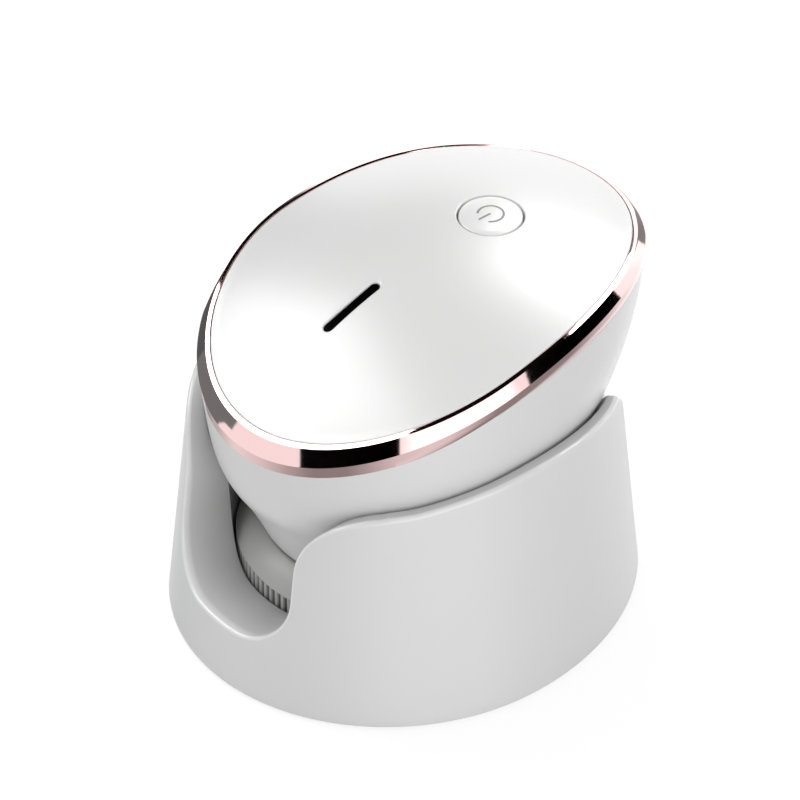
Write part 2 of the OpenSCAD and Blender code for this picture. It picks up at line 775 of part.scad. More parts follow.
module motor_shaft() {
    color("gray") translate([motor_x, motor_y, pinion_low - 0.4])
        cylinder(r = shaft_r, h = deck_z + motor_len - pinion_low - 1);
}

module motor_pinion() {
    color("goldenrod") translate([motor_x, motor_y, pinion_low]) difference() {
        wheel(pinion_teeth, pinion_t, motor_dir + 180 + 180 / pinion_teeth);
        translate([0, 0, -1]) cylinder(r = shaft_r + 0.01, h = pinion_t + 2);
    }
}

module idler_pin() {
    color("gray") translate([idler_x, idler_y, neck_z + 2.5])
        cylinder(r = idler_r - 0.01, h = deck_z + deck_t - neck_z - 2.5, $fn = 32);
}

module idler_gear() {
    color("ivory") translate([idler_x, idler_y, gear_low]) difference() {
        union() {
            wheel(pinion_teeth, idler_small_t, idler_dir + 180 + 180 / pinion_teeth);
            translate([0, 0, idler_small_t]) wheel(idler_teeth, idler_big_t, motor_dir);
        }
        translate([0, 0, -1]) cylinder(r = idler_r + run_gap, h = 20);
    }
}

module spindle_gear() {
    color("ivory") at_spindle(gear_low) difference() {
        union() {
            wheel(spindle_teeth, spindle_gear_t, idler_dir);
            cylinder(r = spindle_r + 2, h = spindle_gear_t + 0.4);
        }
        translate([0, 0, -1]) cylinder(r = spindle_r + 0.01, h = 10);
    }
}

module drive_spindle() {
    color("silver") at_spindle(0) difference() {
        union() {
            translate([0, 0, head_top]) cylinder(r = spindle_r, h = clip_z + 1.6 - head_top);
            translate([0, 0, hex_low]) cylinder(r = hex_r, h = head_top - hex_low, $fn = 6);
        }
        translate([0, 0, clip_z]) tube(spindle_r + 1, spindle_r - 0.5, 0.6);
    }
}

module spindle_clip() {
    color("dimgray") at_spindle(clip_z) tube(spindle_r + 1.4, spindle_r - 0.49, 0.6);
}

module upper_bush() {
    color("peru") at_spindle(deck_z) difference() {
        union() {
            cylinder(r = spindle_r + bush_wall - 0.01, h = deck_t);
            translate([0, 0, deck_t]) cylinder(r = spindle_r + bush_wall + 1, h = 0.5);
        }
        translate([0, 0, -1]) cylinder(r = spindle_r + run_gap, h = deck_t + 3);
    }
}

module lower_bush() {
    color("peru") at_spindle(seal_top)
        tube(spindle_r + bush_wall - 0.01, spindle_r + run_gap, bush_top - seal_top);
}

module shaft_seal() {
    color("darkslategray") at_spindle(seal_low)
        tube(seal_r - 0.02, spindle_r + run_gap, seal_top - seal_low);
}

// Brush head

module rib_outline() {
    step = 360 / rib_count;
    polygon([for (i = [0 : rib_count - 1]) each [
        for (k = [[0, -rib_deep], [0.36, -rib_deep], [0.46, 0], [0.9, 0]])
            let (a = step * (i + k[0]), r = head_r + k[1]) [r * cos(a), r * sin(a)]]]);
}

module brush_carrier() {
    shoulder = [for (k = [0 : 8]) let (t = k / 8, bow = 0.5 * sin(180 * t))
        [head_r - 0.05 - (head_r - neck_r + 0.35) * t + bow * 0.7,
            band_z + (head_top - band_z) * t + bow * 0.7]];
    color("gainsboro") at_spindle(0) difference() {
        union() {
            translate([0, 0, head_low]) linear_extrude(band_z - head_low) rib_outline();
            rotate_extrude() polygon(concat([[0, band_z - brim], [head_r - 0.05, band_z - brim]], shoulder,
                [[0, head_top]]));
        }
        translate([0, 0, head_low - 1]) cylinder(r = head_r - skirt_wall, h = head_roof - head_low + 1);
        translate([0, 0, head_roof + 2]) tube(neck_r - 2, hex_r + 3, head_top - head_roof);
        translate([0, 0, hex_low - 0.3]) cylinder(r = hex_r + fit_gap / 2, h = 20, $fn = 6);
    }
}

module tuft_plate() {
    color("white") at_spindle(head_roof - tuft_t) cylinder(r = tuft_r, h = tuft_t);
}

module bristles() {
    slice_z = head_roof - tuft_t - slice_t;
    rings = floor((tuft_r - 2) / ring_step);
    color("white") at_spindle(slice_z) {
        cylinder(r = tuft_r, h = slice_t);
        for (k = [1 : rings]) {
            count = floor(2 * PI * k * ring_step / bristle_step);
            for (i = [0 : count - 1]) rotate([0, 0, 360 * (i + k / 2) / count])
                translate([k * ring_step, 0, -bristle_len + 0.1])
                    cylinder(r = bristle_r, h = bristle_len, $fn = 3);
        }
    }
}

stand_shell();
base_plate();
foot_ring();
base_screws();
lower_housing();
neck_trim();
bezel_ring();
top_cover();
cover_gasket();
light_window();
button_seal();
power_button();
circuit_board();
tact_switch();
status_led();
pcb_screws();
battery_cell();
battery_pad();
charge_socket();
port_plug();
gearbox_plate();
gearbox_screws();
motor_can();
motor_endcap();
motor_screws();
motor_shaft();
motor_pinion();
idler_pin();
idler_gear();
spindle_gear();
drive_spindle();
spindle_clip();
upper_bush();
lower_bush();
shaft_seal();
brush_carrier();
tuft_plate();
bristles();
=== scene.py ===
# Facial cleansing massager: a handheld spinning brush, standing head down in its holder.
# Everything is in metres in the CAD frame: +Z up, -Y the front with the holder's cut-out.
import math

import bmesh
import bpy
import numpy as np
from mathutils import Matrix


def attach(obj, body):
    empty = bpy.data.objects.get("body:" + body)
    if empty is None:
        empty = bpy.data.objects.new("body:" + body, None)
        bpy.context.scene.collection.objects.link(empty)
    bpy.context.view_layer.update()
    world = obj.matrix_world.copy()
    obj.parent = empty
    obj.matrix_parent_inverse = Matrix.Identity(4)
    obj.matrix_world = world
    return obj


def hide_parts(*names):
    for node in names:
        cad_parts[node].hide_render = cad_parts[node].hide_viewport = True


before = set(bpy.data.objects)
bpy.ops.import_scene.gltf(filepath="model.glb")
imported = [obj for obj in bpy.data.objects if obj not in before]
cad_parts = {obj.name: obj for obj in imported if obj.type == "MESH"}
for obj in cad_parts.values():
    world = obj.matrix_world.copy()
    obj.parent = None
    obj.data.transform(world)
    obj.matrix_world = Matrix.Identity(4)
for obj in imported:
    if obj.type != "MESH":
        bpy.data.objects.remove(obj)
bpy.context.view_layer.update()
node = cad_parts
MM = 0.001

# ---------------------------------------------------------------- camera
# A long studio lens, three quarters from the front right and 39 degrees above the table, as the
# photograph was taken. It aims a little left of the middle, because the object stands right of it.

camera = bpy.data.objects.new("camera", bpy.data.cameras.new("camera"))
bpy.context.collection.objects.link(camera)
camera.data.sensor_width = 36.0
camera.data.lens = 271.6
camera.data.clip_start = 0.05
camera.data.clip_end = 20.0
eye = np.array([654.061, -513.871, 713.485]) * MM
aim = np.array([-15.662, 9.374, 25.257]) * MM


def look(position, target):
    """World matrix of a camera at position whose -Z points at target and whose X is level."""
    back = (position - target) / np.linalg.norm(position - target)
    right = np.cross([0.0, 0.0, 1.0], back)
    right /= np.linalg.norm(right)
    up = np.cross(back, right)
    return Matrix([[*row, at] for row, at in zip(np.stack([right, up, back], 1), position)]
                  + [[0, 0, 0, 1]])


camera.matrix_world = look(eye, aim)
bpy.context.scene.camera = camera

# ---------------------------------------------------------------- holder
# The stand is one moulding of satin ABS: an egg-shaped outer wall that leans in as it rises, an
# arched lip, a U-shaped cut-out through the front, and inside it a round cup that opens into a
# bowl shaped like the housing's belly. Its edges are rounded by the mould.

BASE_HALF, BASE_FRONT, BASE_REAR = 40.0, 41.8, 46.4
RIM_HALF, RIM_FRONT, RIM_REAR = 31.2, 33.0, 47.0
BEZEL_OUT = 2.5
WIDE_Y = -(-0.1 + RIM_REAR + BEZEL_OUT - BASE_FRONT) / 2
HAND_Y = WIDE_Y - 0.1
HEAD_Y = WIDE_Y - 1.9
LEAN = math.tan(math.radians(5.7))
LIP_PEAK, LIP_ARC, LIP_FRONT, LIP_LEVEL = 47.0, 96.0, 19.0, 9.0
BACK_START, BACK_FALL, BACK_EASE = 30.8, 1.35, 1.5
LIP_Y = WIDE_Y + 1.0
NECK_R, NECK_Z = 22.9, 19.1
RIM_Z, RIM_SLOPE, RIM_BEND, RIM_FLARE = 66.0, math.tan(math.radians(13.2)), 134.0, 0.4
CROWN = 4.8
BELLY_FRONT = np.array([0.77, 0.65, 0.78, 0.31])
BELLY_REAR = np.array([0.78, 0.29, 1.0, 0.8])
BEZEL_H, SEAM = 4.1, 0.05
SEAT_OUT = BEZEL_OUT - 0.3
SEAT_GAP = 0.5
CUP_R, CUP_Z0, CUP_SLOPE, CUP_FLOOR = 27.6, 9.9, 0.05, 3.6


def lobe(a, front, rear):
    """Half-length of the egg towards angle a: front where the sine is negative, else rear."""
    return np.where(np.sin(a) < 0, front, rear)


def rim_z(x, y):
    """Height of the cover's rim over a point from the handheld part's centre: a slope, less a
    bend of RIM_BEND radius seen from the side, plus a small flare towards the sides."""
    return RIM_Z + y * RIM_SLOPE - y**2 / (2 * RIM_BEND) + RIM_FLARE * (x / RIM_HALF) ** 2


def belly(a, s, grow=0.0, lift=0.0):
    """Point of the housing's belly at angle a: two cubic curves in s, one for how far out and one
    for how far up, from the neck's circle to the egg under the chrome ring."""
    k = (1 + np.sin(a)) / 2
    turn = BELLY_FRONT + (BELLY_REAR - BELLY_FRONT) * k[..., None]
    x = (RIM_HALF + SEAT_OUT + grow) * np.cos(a)
    y = (lobe(a, RIM_FRONT, RIM_REAR) + SEAT_OUT + grow) * np.sin(a)
    high = np.stack([x, HAND_Y + y, rim_z(x, y) - BEZEL_H - SEAM], -1)
    low = np.stack([(NECK_R + grow) * np.cos(a), HEAD_Y + (NECK_R + grow) * np.sin(a),
                    np.full_like(a, NECK_Z + lift)], -1)
    b1, b2, b3 = 3 * s * (1 - s) ** 2, 3 * s * s * (1 - s), s**3
    out = (b1 * turn[..., 0] + b2 * turn[..., 2] + b3)[..., None]
    up = b1 * turn[..., 1] + b2 * turn[..., 3] + b3
    point = low + (high - low) * out
    point[..., 2] = low[..., 2] + (high[..., 2] - low[..., 2]) * up
    return point


def bowl_table(count=360, levels=90):
    """Radius of the bowl from the spindle's axis, by height and angle: at each height every
    belly curve is cut, and the cuts' radii are read off at even angles."""
    a = np.linspace(0, 2 * np.pi, count, endpoint=False)
    s = np.linspace(0, 1, 200)
    curves = belly(np.broadcast_to(a, (200, count)), s[:, None], SEAT_GAP, -SEAT_GAP)
    heights = np.linspace(NECK_Z, 49.0, levels)
    angles = np.linspace(-np.pi, np.pi, count + 1)
    rows = []
    for z in heights:
        at = np.array([np.interp(z, curves[:, i, 2], s) for i in range(count)])
        p = belly(a, at, SEAT_GAP, -SEAT_GAP)
        angle = np.arctan2(p[:, 1] - HEAD_Y, p[:, 0])
        radius = np.hypot(p[:, 1] - HEAD_Y, p[:, 0])
        order = np.argsort(angle)
        rows.append(np.interp(angles, angle[order], radius[order], period=2 * np.pi))
    return heights, angles, np.array(rows)


BOWL_Z, BOWL_A, BOWL_R = bowl_table()


def inside_r(angle, z):
    """Radius of the holder's hollow at an angle and height: the wider of the cup, a slim cone,
    and the bowl, which is read between the table's four nearest values."""
    cup = CUP_R + (z - CUP_Z0) * CUP_SLOPE
    i = np.clip((z - BOWL_Z[0]) / (BOWL_Z[1] - BOWL_Z[0]), 0, len(BOWL_Z) - 1.001)
    j = ((angle + np.pi) % (2 * np.pi)) / (BOWL_A[1] - BOWL_A[0])
    i0, j0 = i.astype(int), np.minimum(j.astype(int), len(BOWL_A) - 2)
    u, v = i - i0, j - j0
    bowl = ((BOWL_R[i0, j0] * (1 - v) + BOWL_R[i0, j0 + 1] * v) * (1 - u)
            + (BOWL_R[i0 + 1, j0] * (1 - v) + BOWL_R[i0 + 1, j0 + 1] * v) * u)
    both = cup - bowl
    return (cup + bowl + np.sqrt(both**2 + 0.3)) / 2 - 0.12 * np.exp(-both**2)


def plan_ring(a, inset):
    """Foot's egg in plan, drawn in by inset."""
    return np.stack([(BASE_HALF - inset) * np.cos(a),
                     WIDE_Y + (lobe(a, BASE_FRONT, BASE_REAR) - inset) * np.sin(a)], -1)


def wall_point(a, z):
    """Point of the holder's outer wall: the foot's egg, drawn in by the wall's lean."""
    return np.c_[plan_ring(a, z * LEAN), z]


def full_turn(n):
    """n even angles of a full turn."""
    return 2 * np.pi * np.arange(n) / n


def spindle_ring(radius, angle, z):
    """Points about the spindle's axis."""
    return np.stack([radius * np.cos(angle), HEAD_Y + radius * np.sin(angle),
                     np.broadcast_to(z, angle.shape)], -1)


def lip_z(y):
    """Height of the lip: an arc seen from the side that levels out towards the front, less a fall
    at the back that turns from level to steep as a hyperbola does."""
    arched = np.maximum(y - LIP_Y, -LIP_FRONT)
    run = np.clip(LIP_Y - LIP_FRONT - y, 0, LIP_LEVEL)
    past = np.maximum(y - WIDE_Y - BACK_START, 0)
    return (LIP_PEAK - arched**2 / (2 * LIP_ARC)
            - run * LIP_FRONT / LIP_ARC * (1 - run / (2 * LIP_LEVEL))
            - BACK_FALL * (np.hypot(past, BACK_EASE) - BACK_EASE))


NOTCH_HALF, SILL_Z, CORNER_R, SHOULDER_R, SHOULDER_TOP = 15.5, 12.6, 11.0, 14.0, 44.3


def arc(cx, cz, r, start, stop, n):
    """n points of a circle in the X-Z plane, between two angles in degrees."""
    t = np.radians(np.linspace(start, stop, n))
    return np.stack([cx + r * np.cos(t), cz + r * np.sin(t)], -1)


def half_contour(count):
    """Right half of the edge between the wall and its top, from the sill's middle to the back:
    sill, corner, jamb and shoulder in front view, then the lip. Even steps along its length."""
    front = np.concatenate([
        [[0.0, SILL_Z]],
        arc(NOTCH_HALF - CORNER_R, SILL_Z + CORNER_R, CORNER_R, 270, 360, 60),
        arc(NOTCH_HALF + SHOULDER_R, SHOULDER_TOP - SHOULDER_R, SHOULDER_R, 180, 104, 60)])
    drawn = front[:, 1] * LEAN
    side = front[:, 0] / (BASE_HALF - drawn)
    a = -np.pi / 2 + np.arcsin(side)
    first = np.stack([a, front[:, 1]], -1)
    a = np.linspace(a[-1], np.pi / 2, 400)
    lip = np.stack([a, lip_z(wall_point(a, np.full_like(a, LIP_PEAK))[:, 1])], -1)
    far = np.linspace(0, 1, 400)
    # The shoulder runs into the lip over a short stretch
    start = first[-1, 1]
    ease = np.clip(far / 0.035, 0, 1)
    lip[:, 1] = start + (lip[:, 1] - start) * ease * ease * (3 - 2 * ease)
    both = np.concatenate([first, lip[1:]])
    points = wall_point(both[:, 0], both[:, 1])
    length = np.r_[0, np.cumsum(np.linalg.norm(np.diff(points, axis=0), axis=1))]
    even = np.linspace(0, length[-1], count)
    return np.stack([np.interp(even, length, both[:, 0]), np.interp(even, length, both[:, 1])], -1)


def smooth_step(x, low, high):
    """0 below low, 1 above high, and a smooth cubic between."""
    t = np.clip((x - low) / (high - low), 0, 1)
    return t * t * (3 - 2 * t)


def mesh_from(name, points, faces, smooth=True):
    """Mesh object with its place in its vertices, from point and face arrays in millimetres."""
    mesh = bpy.data.meshes.new(name)
    mesh.from_pydata((np.asarray(points, float) * MM).tolist(), [], [list(f) for f in faces])
    mesh.update()
    if smooth:
        mesh.polygons.foreach_set("use_smooth", np.ones(len(mesh.polygons), bool))
    obj = bpy.data.objects.new(name, mesh)
    bpy.context.collection.objects.link(obj)
    return obj


def grid_faces(rows, cols, wrap=True, first=0):
    """Quads between the rows of a grid of points. Wrapped grids close from the last column to
    the first. Columns run counter-clockwise and rows upwards where the face looks outwards."""
    i, j = np.meshgrid(np.arange(cols if wrap else cols - 1), np.arange(rows - 1))
    k = (i + 1) % cols
    return np.stack([j * cols + i, j * cols + k, (j + 1) * cols + k, (j + 1) * cols + i],
                    -1).reshape(-1, 4) + first


def closed_skin(name, rows):
    """Closed surface over a stack of rings, with a fan from each end ring to its middle point."""
    rows = np.asarray(rows, float)
    m, n = rows.shape[:2]
    points = np.concatenate([rows.reshape(-1, 3), [rows[0].mean(0), rows[-1].mean(0)]])
    i = np.arange(n)
    k = (i + 1) % n
    low = np.stack([np.full(n, m * n), k, i], -1)
    high = np.stack([np.full(n, m * n + 1), (m - 1) * n + i, (m - 1) * n + k], -1)
    faces = grid_faces(m, n).tolist() + low.tolist() + high.tolist()
    return mesh_from(name, points, faces)


def unit(vectors):
    """Rows of vectors, each brought to length 1."""
    return vectors / np.linalg.norm(vectors, axis=1)[:, None]


EDGE_R, EDGE_RINGS, LIP_RINGS, HOLLOW_RINGS = 0.75, 6, 8, 32
HEM_Z, HEM_R, UNDER_Z = 0.4, 0.5, 2.3
HEM_TOP = HEM_Z + HEM_R
QUARTER = np.radians([0, 22, 45, 67, 90])


def stand_rows():
    """Rings of the holder's surface, each with a point for each point of the top edge: up the
    wall, over a rounded edge, across lip, jambs and sill, and down inside to the cup's floor."""
    half = half_contour(330)
    mirrored = half[::-1] * [-1, 1] + [np.pi, 0]
    contour = np.concatenate([half[:-1], mirrored[:-1]])
    a, z = contour[:, 0], contour[:, 1]
    n = len(a)
    edge = wall_point(a, z)
    foot_a = full_turn(n) - np.pi / 2
    # Direction across the wall: straight back in the cut-out, towards the middle on the lip
    mean_z = lip_z(wall_point(full_turn(360), np.full(360, LIP_PEAK))[:, 1]).mean()
    middle = np.array([0.0, WIDE_Y + (BASE_REAR - BASE_FRONT) / np.pi])
    reach = np.linalg.norm(middle - edge[:, :2], axis=1)
    lip_share = smooth_step(np.abs(edge[:, 0]), 17.0, 29.5)
    lip_share = np.where(edge[:, 1] > WIDE_Y - 20, 1.0, lip_share)
    across = unit(unit(middle - edge[:, :2]) * lip_share[:, None]
                  + np.array([0.0, 1.0]) * (1 - lip_share[:, None]))
    fall = -LEAN * (1 - smooth_step(z, SILL_Z + 8, SILL_Z + 16))

    def at(t):
        """Points t millimetres across the wall from its outer edge."""
        p = edge.copy()
        p[:, :2] += across * t[:, None]
        p[:, 2] = z + fall * t + (mean_z - z) * t / reach * lip_share
        return p

    # The wall is as thick as the way to the hollow, which is found by halving
    near, far = np.zeros(n), np.where(lip_share > 0.5, 22.0, 30.0)
    for _ in range(40):
        t = (near + far) / 2
        x, y, height = at(t).T
        out = np.hypot(x, y - HEAD_Y) - inside_r(np.arctan2(y - HEAD_Y, x), height)
        near, far = np.where(out > 0, t, near), np.where(out > 0, far, t)
    depth = (near + far) / 2

    def wall(share):
        """Wall ring at a share of the way from the foot's edge up to the top edge."""
        return wall_point(foot_a + (a - foot_a) * share, HEM_TOP + (z - HEM_TOP) * share)

    along = unit(np.roll(edge, -1, 0) - np.roll(edge, 1, 0))

    def squared(way):
        """Directions squared to the edge's own direction."""
        way = unit(way)
        return unit(way - along * np.sum(way * along, 1)[:, None])

    down = squared(wall(1.0 - 0.012) - edge)
    inward = squared(at(np.full(n, 0.05)) - edge)
    under = plan_ring(foot_a, 3.0)
    rows = [np.c_[(under + middle) / 2, np.full(n, UNDER_Z)], np.c_[under, np.full(n, UNDER_Z)],
            np.c_[under, np.full(n, HEM_Z)]]
    for t in QUARTER:
        rows.append(np.c_[plan_ring(foot_a, HEM_R * (1 - math.sin(t)) + 0.09 * math.sin(t)),
                          np.full(n, HEM_Z + HEM_R * (1 - math.cos(t)))])
    # The wall's last rings ease over to where the rounded edge starts
    shift = edge + down * EDGE_R - wall(0.985)
    for share in np.linspace(0.0, 1.0, 26)[1:]:
        rows.append(wall(share * 0.985) + shift * smooth_step(share, 0.55, 1.0))
    for t in np.radians(np.linspace(0, 90, EDGE_RINGS + 1)[1:]):
        rows.append(edge + EDGE_R * (down * (1 - math.sin(t)) + inward * (1 - math.cos(t))))
    for share in np.linspace(0, 1, LIP_RINGS + 1)[1:]:
        rows.append(at(EDGE_R + (depth - 0.25 - EDGE_R) * share))
    inner = at(depth)
    angle_in = np.unwrap(np.arctan2(inner[:, 1] - HEAD_Y, inner[:, 0]))
    floor_a = foot_a - foot_a[0] + angle_in[0]
    fillet = 1.5

    def hollow(share, out=0.0):
        """Ring of the hollow at a share of the way down to the floor's fillet."""
        angle = angle_in + (floor_a - angle_in) * share
        height = inner[:, 2] + (CUP_FLOOR + fillet - inner[:, 2]) * share
        return spindle_ring(inside_r(angle, height) + out, angle, height)

    rows.append(hollow(0.004, 0.08))
    rows += [hollow(share) for share in np.linspace(0.012, 1, HOLLOW_RINGS - 6)]
    low = rows[-1][:, :2]
    centre = np.array([0.0, HEAD_Y])
    spoke = unit(low - centre)
    for t in QUARTER[1:]:
        rows.append(np.c_[low - spoke * fillet * (1 - math.cos(t)),
                          np.full(n, CUP_FLOOR + fillet * (1 - math.sin(t)))])
    rows.append(np.c_[centre + spoke * 12.0, np.full(n, CUP_FLOOR)])
    return rows


def srgb(code):
    """Linear colour of an sRGB hex value."""
    c = np.array([int(code[i:i + 2], 16) for i in (1, 3, 5)]) / 255
    return (*np.where(c <= 0.04045, c / 12.92, ((c + 0.055) / 1.055) ** 2.4).tolist(), 1.0)


def add(tree, kind, inputs=None, **settings):
    """Adds one node to a tree. settings are its own properties; inputs gives its sockets their
    values, or the sockets that feed them."""
    made = tree.nodes.new(kind)
    for key, value in settings.items():
        setattr(made, key, value)
    for key, value in (inputs or {}).items():
        if isinstance(value, bpy.types.NodeSocket):
            tree.links.new(value, made.inputs[key])
        else:
            made.inputs[key].default_value = value
    return made


def material(name):
    """New node material, its tree, its coordinates in metres, and its shader."""
    made = bpy.data.materials.new(name)
    made.use_nodes = True
    tree = made.node_tree
    tree.nodes.clear()
    shader = add(tree, "ShaderNodeBsdfPrincipled")
    add(tree, "ShaderNodeOutputMaterial", {"Surface": shader.outputs[0]})
    return made, tree, add(tree, "ShaderNodeTexCoord").outputs["Object"], shader


def put(tree, shader, **sockets):
    """Sets sockets of a shader: underscores stand for the blanks in their names."""
    for key, value in sockets.items():
        socket = shader.inputs[key.replace("_", " ")]
        if isinstance(value, bpy.types.NodeSocket):
            tree.links.new(value, socket)
        else:
            socket.default_value = value


def wear(obj, made):
    """Gives an object one material in place of those it has."""
    obj.data.materials.clear()
    obj.data.materials.append(made)


def noise(tree, place_at, grain_mm, detail=2.0):
    """Output of a noise whose grain is the given size."""
    return add(tree, "ShaderNodeTexNoise", {"Vector": place_at, "Scale": 1000 / grain_mm,
                                            "Detail": detail}).outputs[0]


def mixed(tree, share, first, second):
    """Output of a colour mix: the first colour where the share is 0, the second where it is 1."""
    return add(tree, "ShaderNodeMix", {"Factor": share, 6: first, 7: second},
               data_type="RGBA").outputs[2]


def bumped(tree, height, deep_mm):
    """Normal of a surface that a height from 0 to 1 raises by the given depth."""
    return add(tree, "ShaderNodeBump", {"Height": height, "Distance": deep_mm * MM,
                                        "Strength": 1.0}).outputs[0]


def mottled(name, first, second, grain_mm, detail=2.0, **sockets):
    """Material that drifts between two near shades over a grain, with its shader's other sockets
    set by name."""
    made, tree, place_at, shader = material(name)
    share = noise(tree, place_at, grain_mm, detail)
    put(tree, shader, Base_Color=mixed(tree, share, first, second), **sockets)
    return made


def moulded(name, light, dark, rough, grain_mm, grain_deep_mm, inside=None):
    """Moulded plastic: two near shades drift over tens of millimetres, as the pigment does, and a
    fine grain from the spark-eroded mould breaks up the sheen. With an inside colour, points
    tagged inside take it as painted shade, and points tagged edge get a painted highlight."""
    made, tree, place_at, shader = material(name)
    tone = mixed(tree, noise(tree, place_at, 35), srgb(dark), srgb(light))
    if inside:
        tag = add(tree, "ShaderNodeAttribute", attribute_name="inside").outputs["Fac"]
        tone = mixed(tree, tag, tone, srgb(inside))
        # Painted highlight: points tagged edge turn lighter and take a glossy coat, a bright line
        # along the rounded edge
        painted_edge_highlight = add(tree, "ShaderNodeAttribute", attribute_name="edge").outputs["Fac"]
        tone = mixed(tree, painted_edge_highlight, tone, srgb("#FAFAFA"))
        put(tree, shader, Coat_Weight=painted_edge_highlight, Coat_Roughness=0.14)
    grain = noise(tree, place_at, grain_mm, 3.0)
    rubbed = add(tree, "ShaderNodeMapRange", {"Value": grain, "From Min": 0.3, "From Max": 0.7,
                                              "To Min": rough - 0.03, "To Max": rough + 0.03})
    put(tree, shader, Base_Color=tone, Roughness=rubbed.outputs[0],
        Normal=bumped(tree, grain, grain_deep_mm), IOR=1.5)
    return made


rows = stand_rows()
stand = closed_skin("stand_moulding", rows)
# From the last ring back: the hollow's rings, those across the lip, and those round its edge
hollow_at = len(rows) - HOLLOW_RINGS
lip_at = hollow_at - LIP_RINGS
tags = {"inside": np.zeros(len(rows)), "edge": np.zeros(len(rows))}
# Painted shade: the hollow's rings take the full inside grey, and the lip's rings ease into it, so
# the land under the housing looks shaded
tags["inside"][hollow_at:] = 1.0
tags["inside"][lip_at:hollow_at] = np.linspace(0.45, 0.85, LIP_RINGS)
# Painted highlight on the rings round the rounded edge
tags["edge"][lip_at - EDGE_RINGS:lip_at] = 1.0
for tag, share in tags.items():
    values = np.r_[np.repeat(share, len(rows[0])), 0.0, share[-1]]
    stand.data.attributes.new(tag, "FLOAT", "POINT").data.foreach_set("value", values)
# Satin ABS, moulded: a soft broad sheen over neutral white. The inside grey is painted shade in
# the hollow and across the lip, and the edge tag gives a painted highlight along its rounded edge
satin_abs = moulded("satin moulded ABS, white", "#EDEDED", "#EAEAEA", 0.42, 0.35, 0.004,
                    inside="#C4C4C4")
wear(stand, satin_abs)
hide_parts("stand_shell")
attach(stand, "stand")
wear(node["base_plate"], satin_abs)

# ---------------------------------------------------------------- lower housing
# The handheld part's belly is one glossy white ABS moulding, 2 mm thick: round at the neck, and
# egg-shaped, sloping and bent under the chrome ring.

AROUND = 512
around = full_turn(AROUND)


def rim_ring(out, drop, a=around):
    """Ring that follows the cover's rim: out past it, and dropped, both numbers or arrays."""
    x = (RIM_HALF + out) * np.cos(a)
    y = (lobe(a, RIM_FRONT, RIM_REAR) + out) * np.sin(a)
    return np.stack([x, HAND_Y + y, rim_z(x, y) - drop], -1)


def turned(profile, n=AROUND):
    """Rings about the spindle for (radius, height) pairs."""
    return [spindle_ring(r, full_turn(n), z) for r, z in profile]


def housing_rows():
    """The neck's underside, the belly's outside, its top edge, and down again inside it."""
    rows = turned([(8.0, NECK_Z), (NECK_R - 0.2, NECK_Z), (NECK_R - 0.06, NECK_Z + 0.06)])
    rows += [belly(around, s) for s in np.linspace(0.012, 1, 70)]
    rows += [rim_ring(SEAT_OUT - 2.0, BEZEL_H + SEAM)]
    rows += [belly(around, s, -2.0, 2.2) for s in np.linspace(0.97, 0.06, 16)]
    return rows + turned([(8.0, NECK_Z + 2.3)])


housing = closed_skin("housing_moulding", housing_rows())
# A tighter sheen than the holder's, which mirrors the bright room softly
wear(housing, moulded("gloss moulded ABS, white", "#EEEEEE", "#EBEBEB", 0.24, 0.5, 0.002))
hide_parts("lower_housing")
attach(housing, "handheld")

# The dark seam between the neck and the spinning head is a soft ring of brown rubber.
wear(node["neck_trim"], mottled("brown rubber seam", srgb("#5A4A46"), srgb("#6A5A56"), 0.8,
                                Roughness=0.6))

# ---------------------------------------------------------------- chrome ring
# Rose-gold vacuum-metallised ABS in three facets: a narrow land beside the cover, a main band that
# thins towards the back, and below it a skirt that turns in and is deepest in front.

BAND_FRONT, BAND_REAR, BAND_BULGE, SKIRT = 2.6, 1.2, 0.05, 0.9
LAND_OUT, LAND_TILT = 0.92, 0.208


def tuck(a):
    """How far the seam between cover and ring lies inwards of the rim at angle a: a little at the
    back on the left, nothing elsewhere."""
    degrees = np.degrees(a) % 360
    return 0.4 * smooth_step(degrees, 108, 132) * (1 - smooth_step(degrees, 166, 194))


def bezel_rows(n=900):
    """Closed section carried round the rim, as (out, drop) pairs. The land falls outwards by
    LAND_TILT, and its inner strip lies flatter at the back left. The main band is a straight line
    with a hair's bulge from the land's edge down to its own lower edge, which drops by BAND_FRONT
    in front and BAND_REAR behind. The skirt below it turns in, deeper by SKIRT in front."""
    a = full_turn(n)
    y = (lobe(a, RIM_FRONT, RIM_REAR) + BEZEL_OUT) * np.sin(a)
    low = BAND_FRONT + (BAND_REAR - BAND_FRONT) * (y + RIM_FRONT) / (RIM_FRONT + RIM_REAR)
    foot = BEZEL_H + SKIRT * (1 - smooth_step(y, -20.0, -3.0))
    degrees = np.degrees(a)
    flat = smooth_step(degrees, 108, 120) * (1 - smooth_step(degrees, 196, 222))
    inner = 0.15 - 0.04 * np.cos(a) - tuck(a)
    edge = inner + 0.42 + 0.1 * flat
    tilt = LAND_TILT - 0.25 * flat
    strip = 0.02 + tilt * (edge - inner)
    rim = strip + LAND_TILT * (LAND_OUT - edge)
    soft = 0.03
    section = [(inner, 0.6), (inner, 0.08), (inner + 0.02, 0.02),
               (inner + 0.04, 0.02 + tilt * 0.04), (edge, strip),
               (edge + soft, strip + LAND_TILT * soft),
               (LAND_OUT - soft, rim - LAND_TILT * soft), (LAND_OUT, rim)]
    for t in (0.15, 0.3, 0.5, 0.7, 0.85, 1.0):
        swell = 4 * t * (1 - t) * BAND_BULGE
        section.append((LAND_OUT + (BEZEL_OUT - LAND_OUT - 0.01) * t + swell * 0.84,
                        rim + (low - rim) * t - swell * 0.55))
    section += [(BEZEL_OUT - 0.14, (low + foot) / 2), (BEZEL_OUT - 0.25, foot - 0.06),
                (BEZEL_OUT - 0.28, foot), (SEAT_OUT + 0.01 - 0.05 * (foot - BEZEL_H), foot),
                (SEAT_OUT, BEZEL_H), (1.0, BEZEL_H), (1.0, 2.0), (inner, 2.0)]
    return np.array([rim_ring(out, drop, a) for out, drop in section])


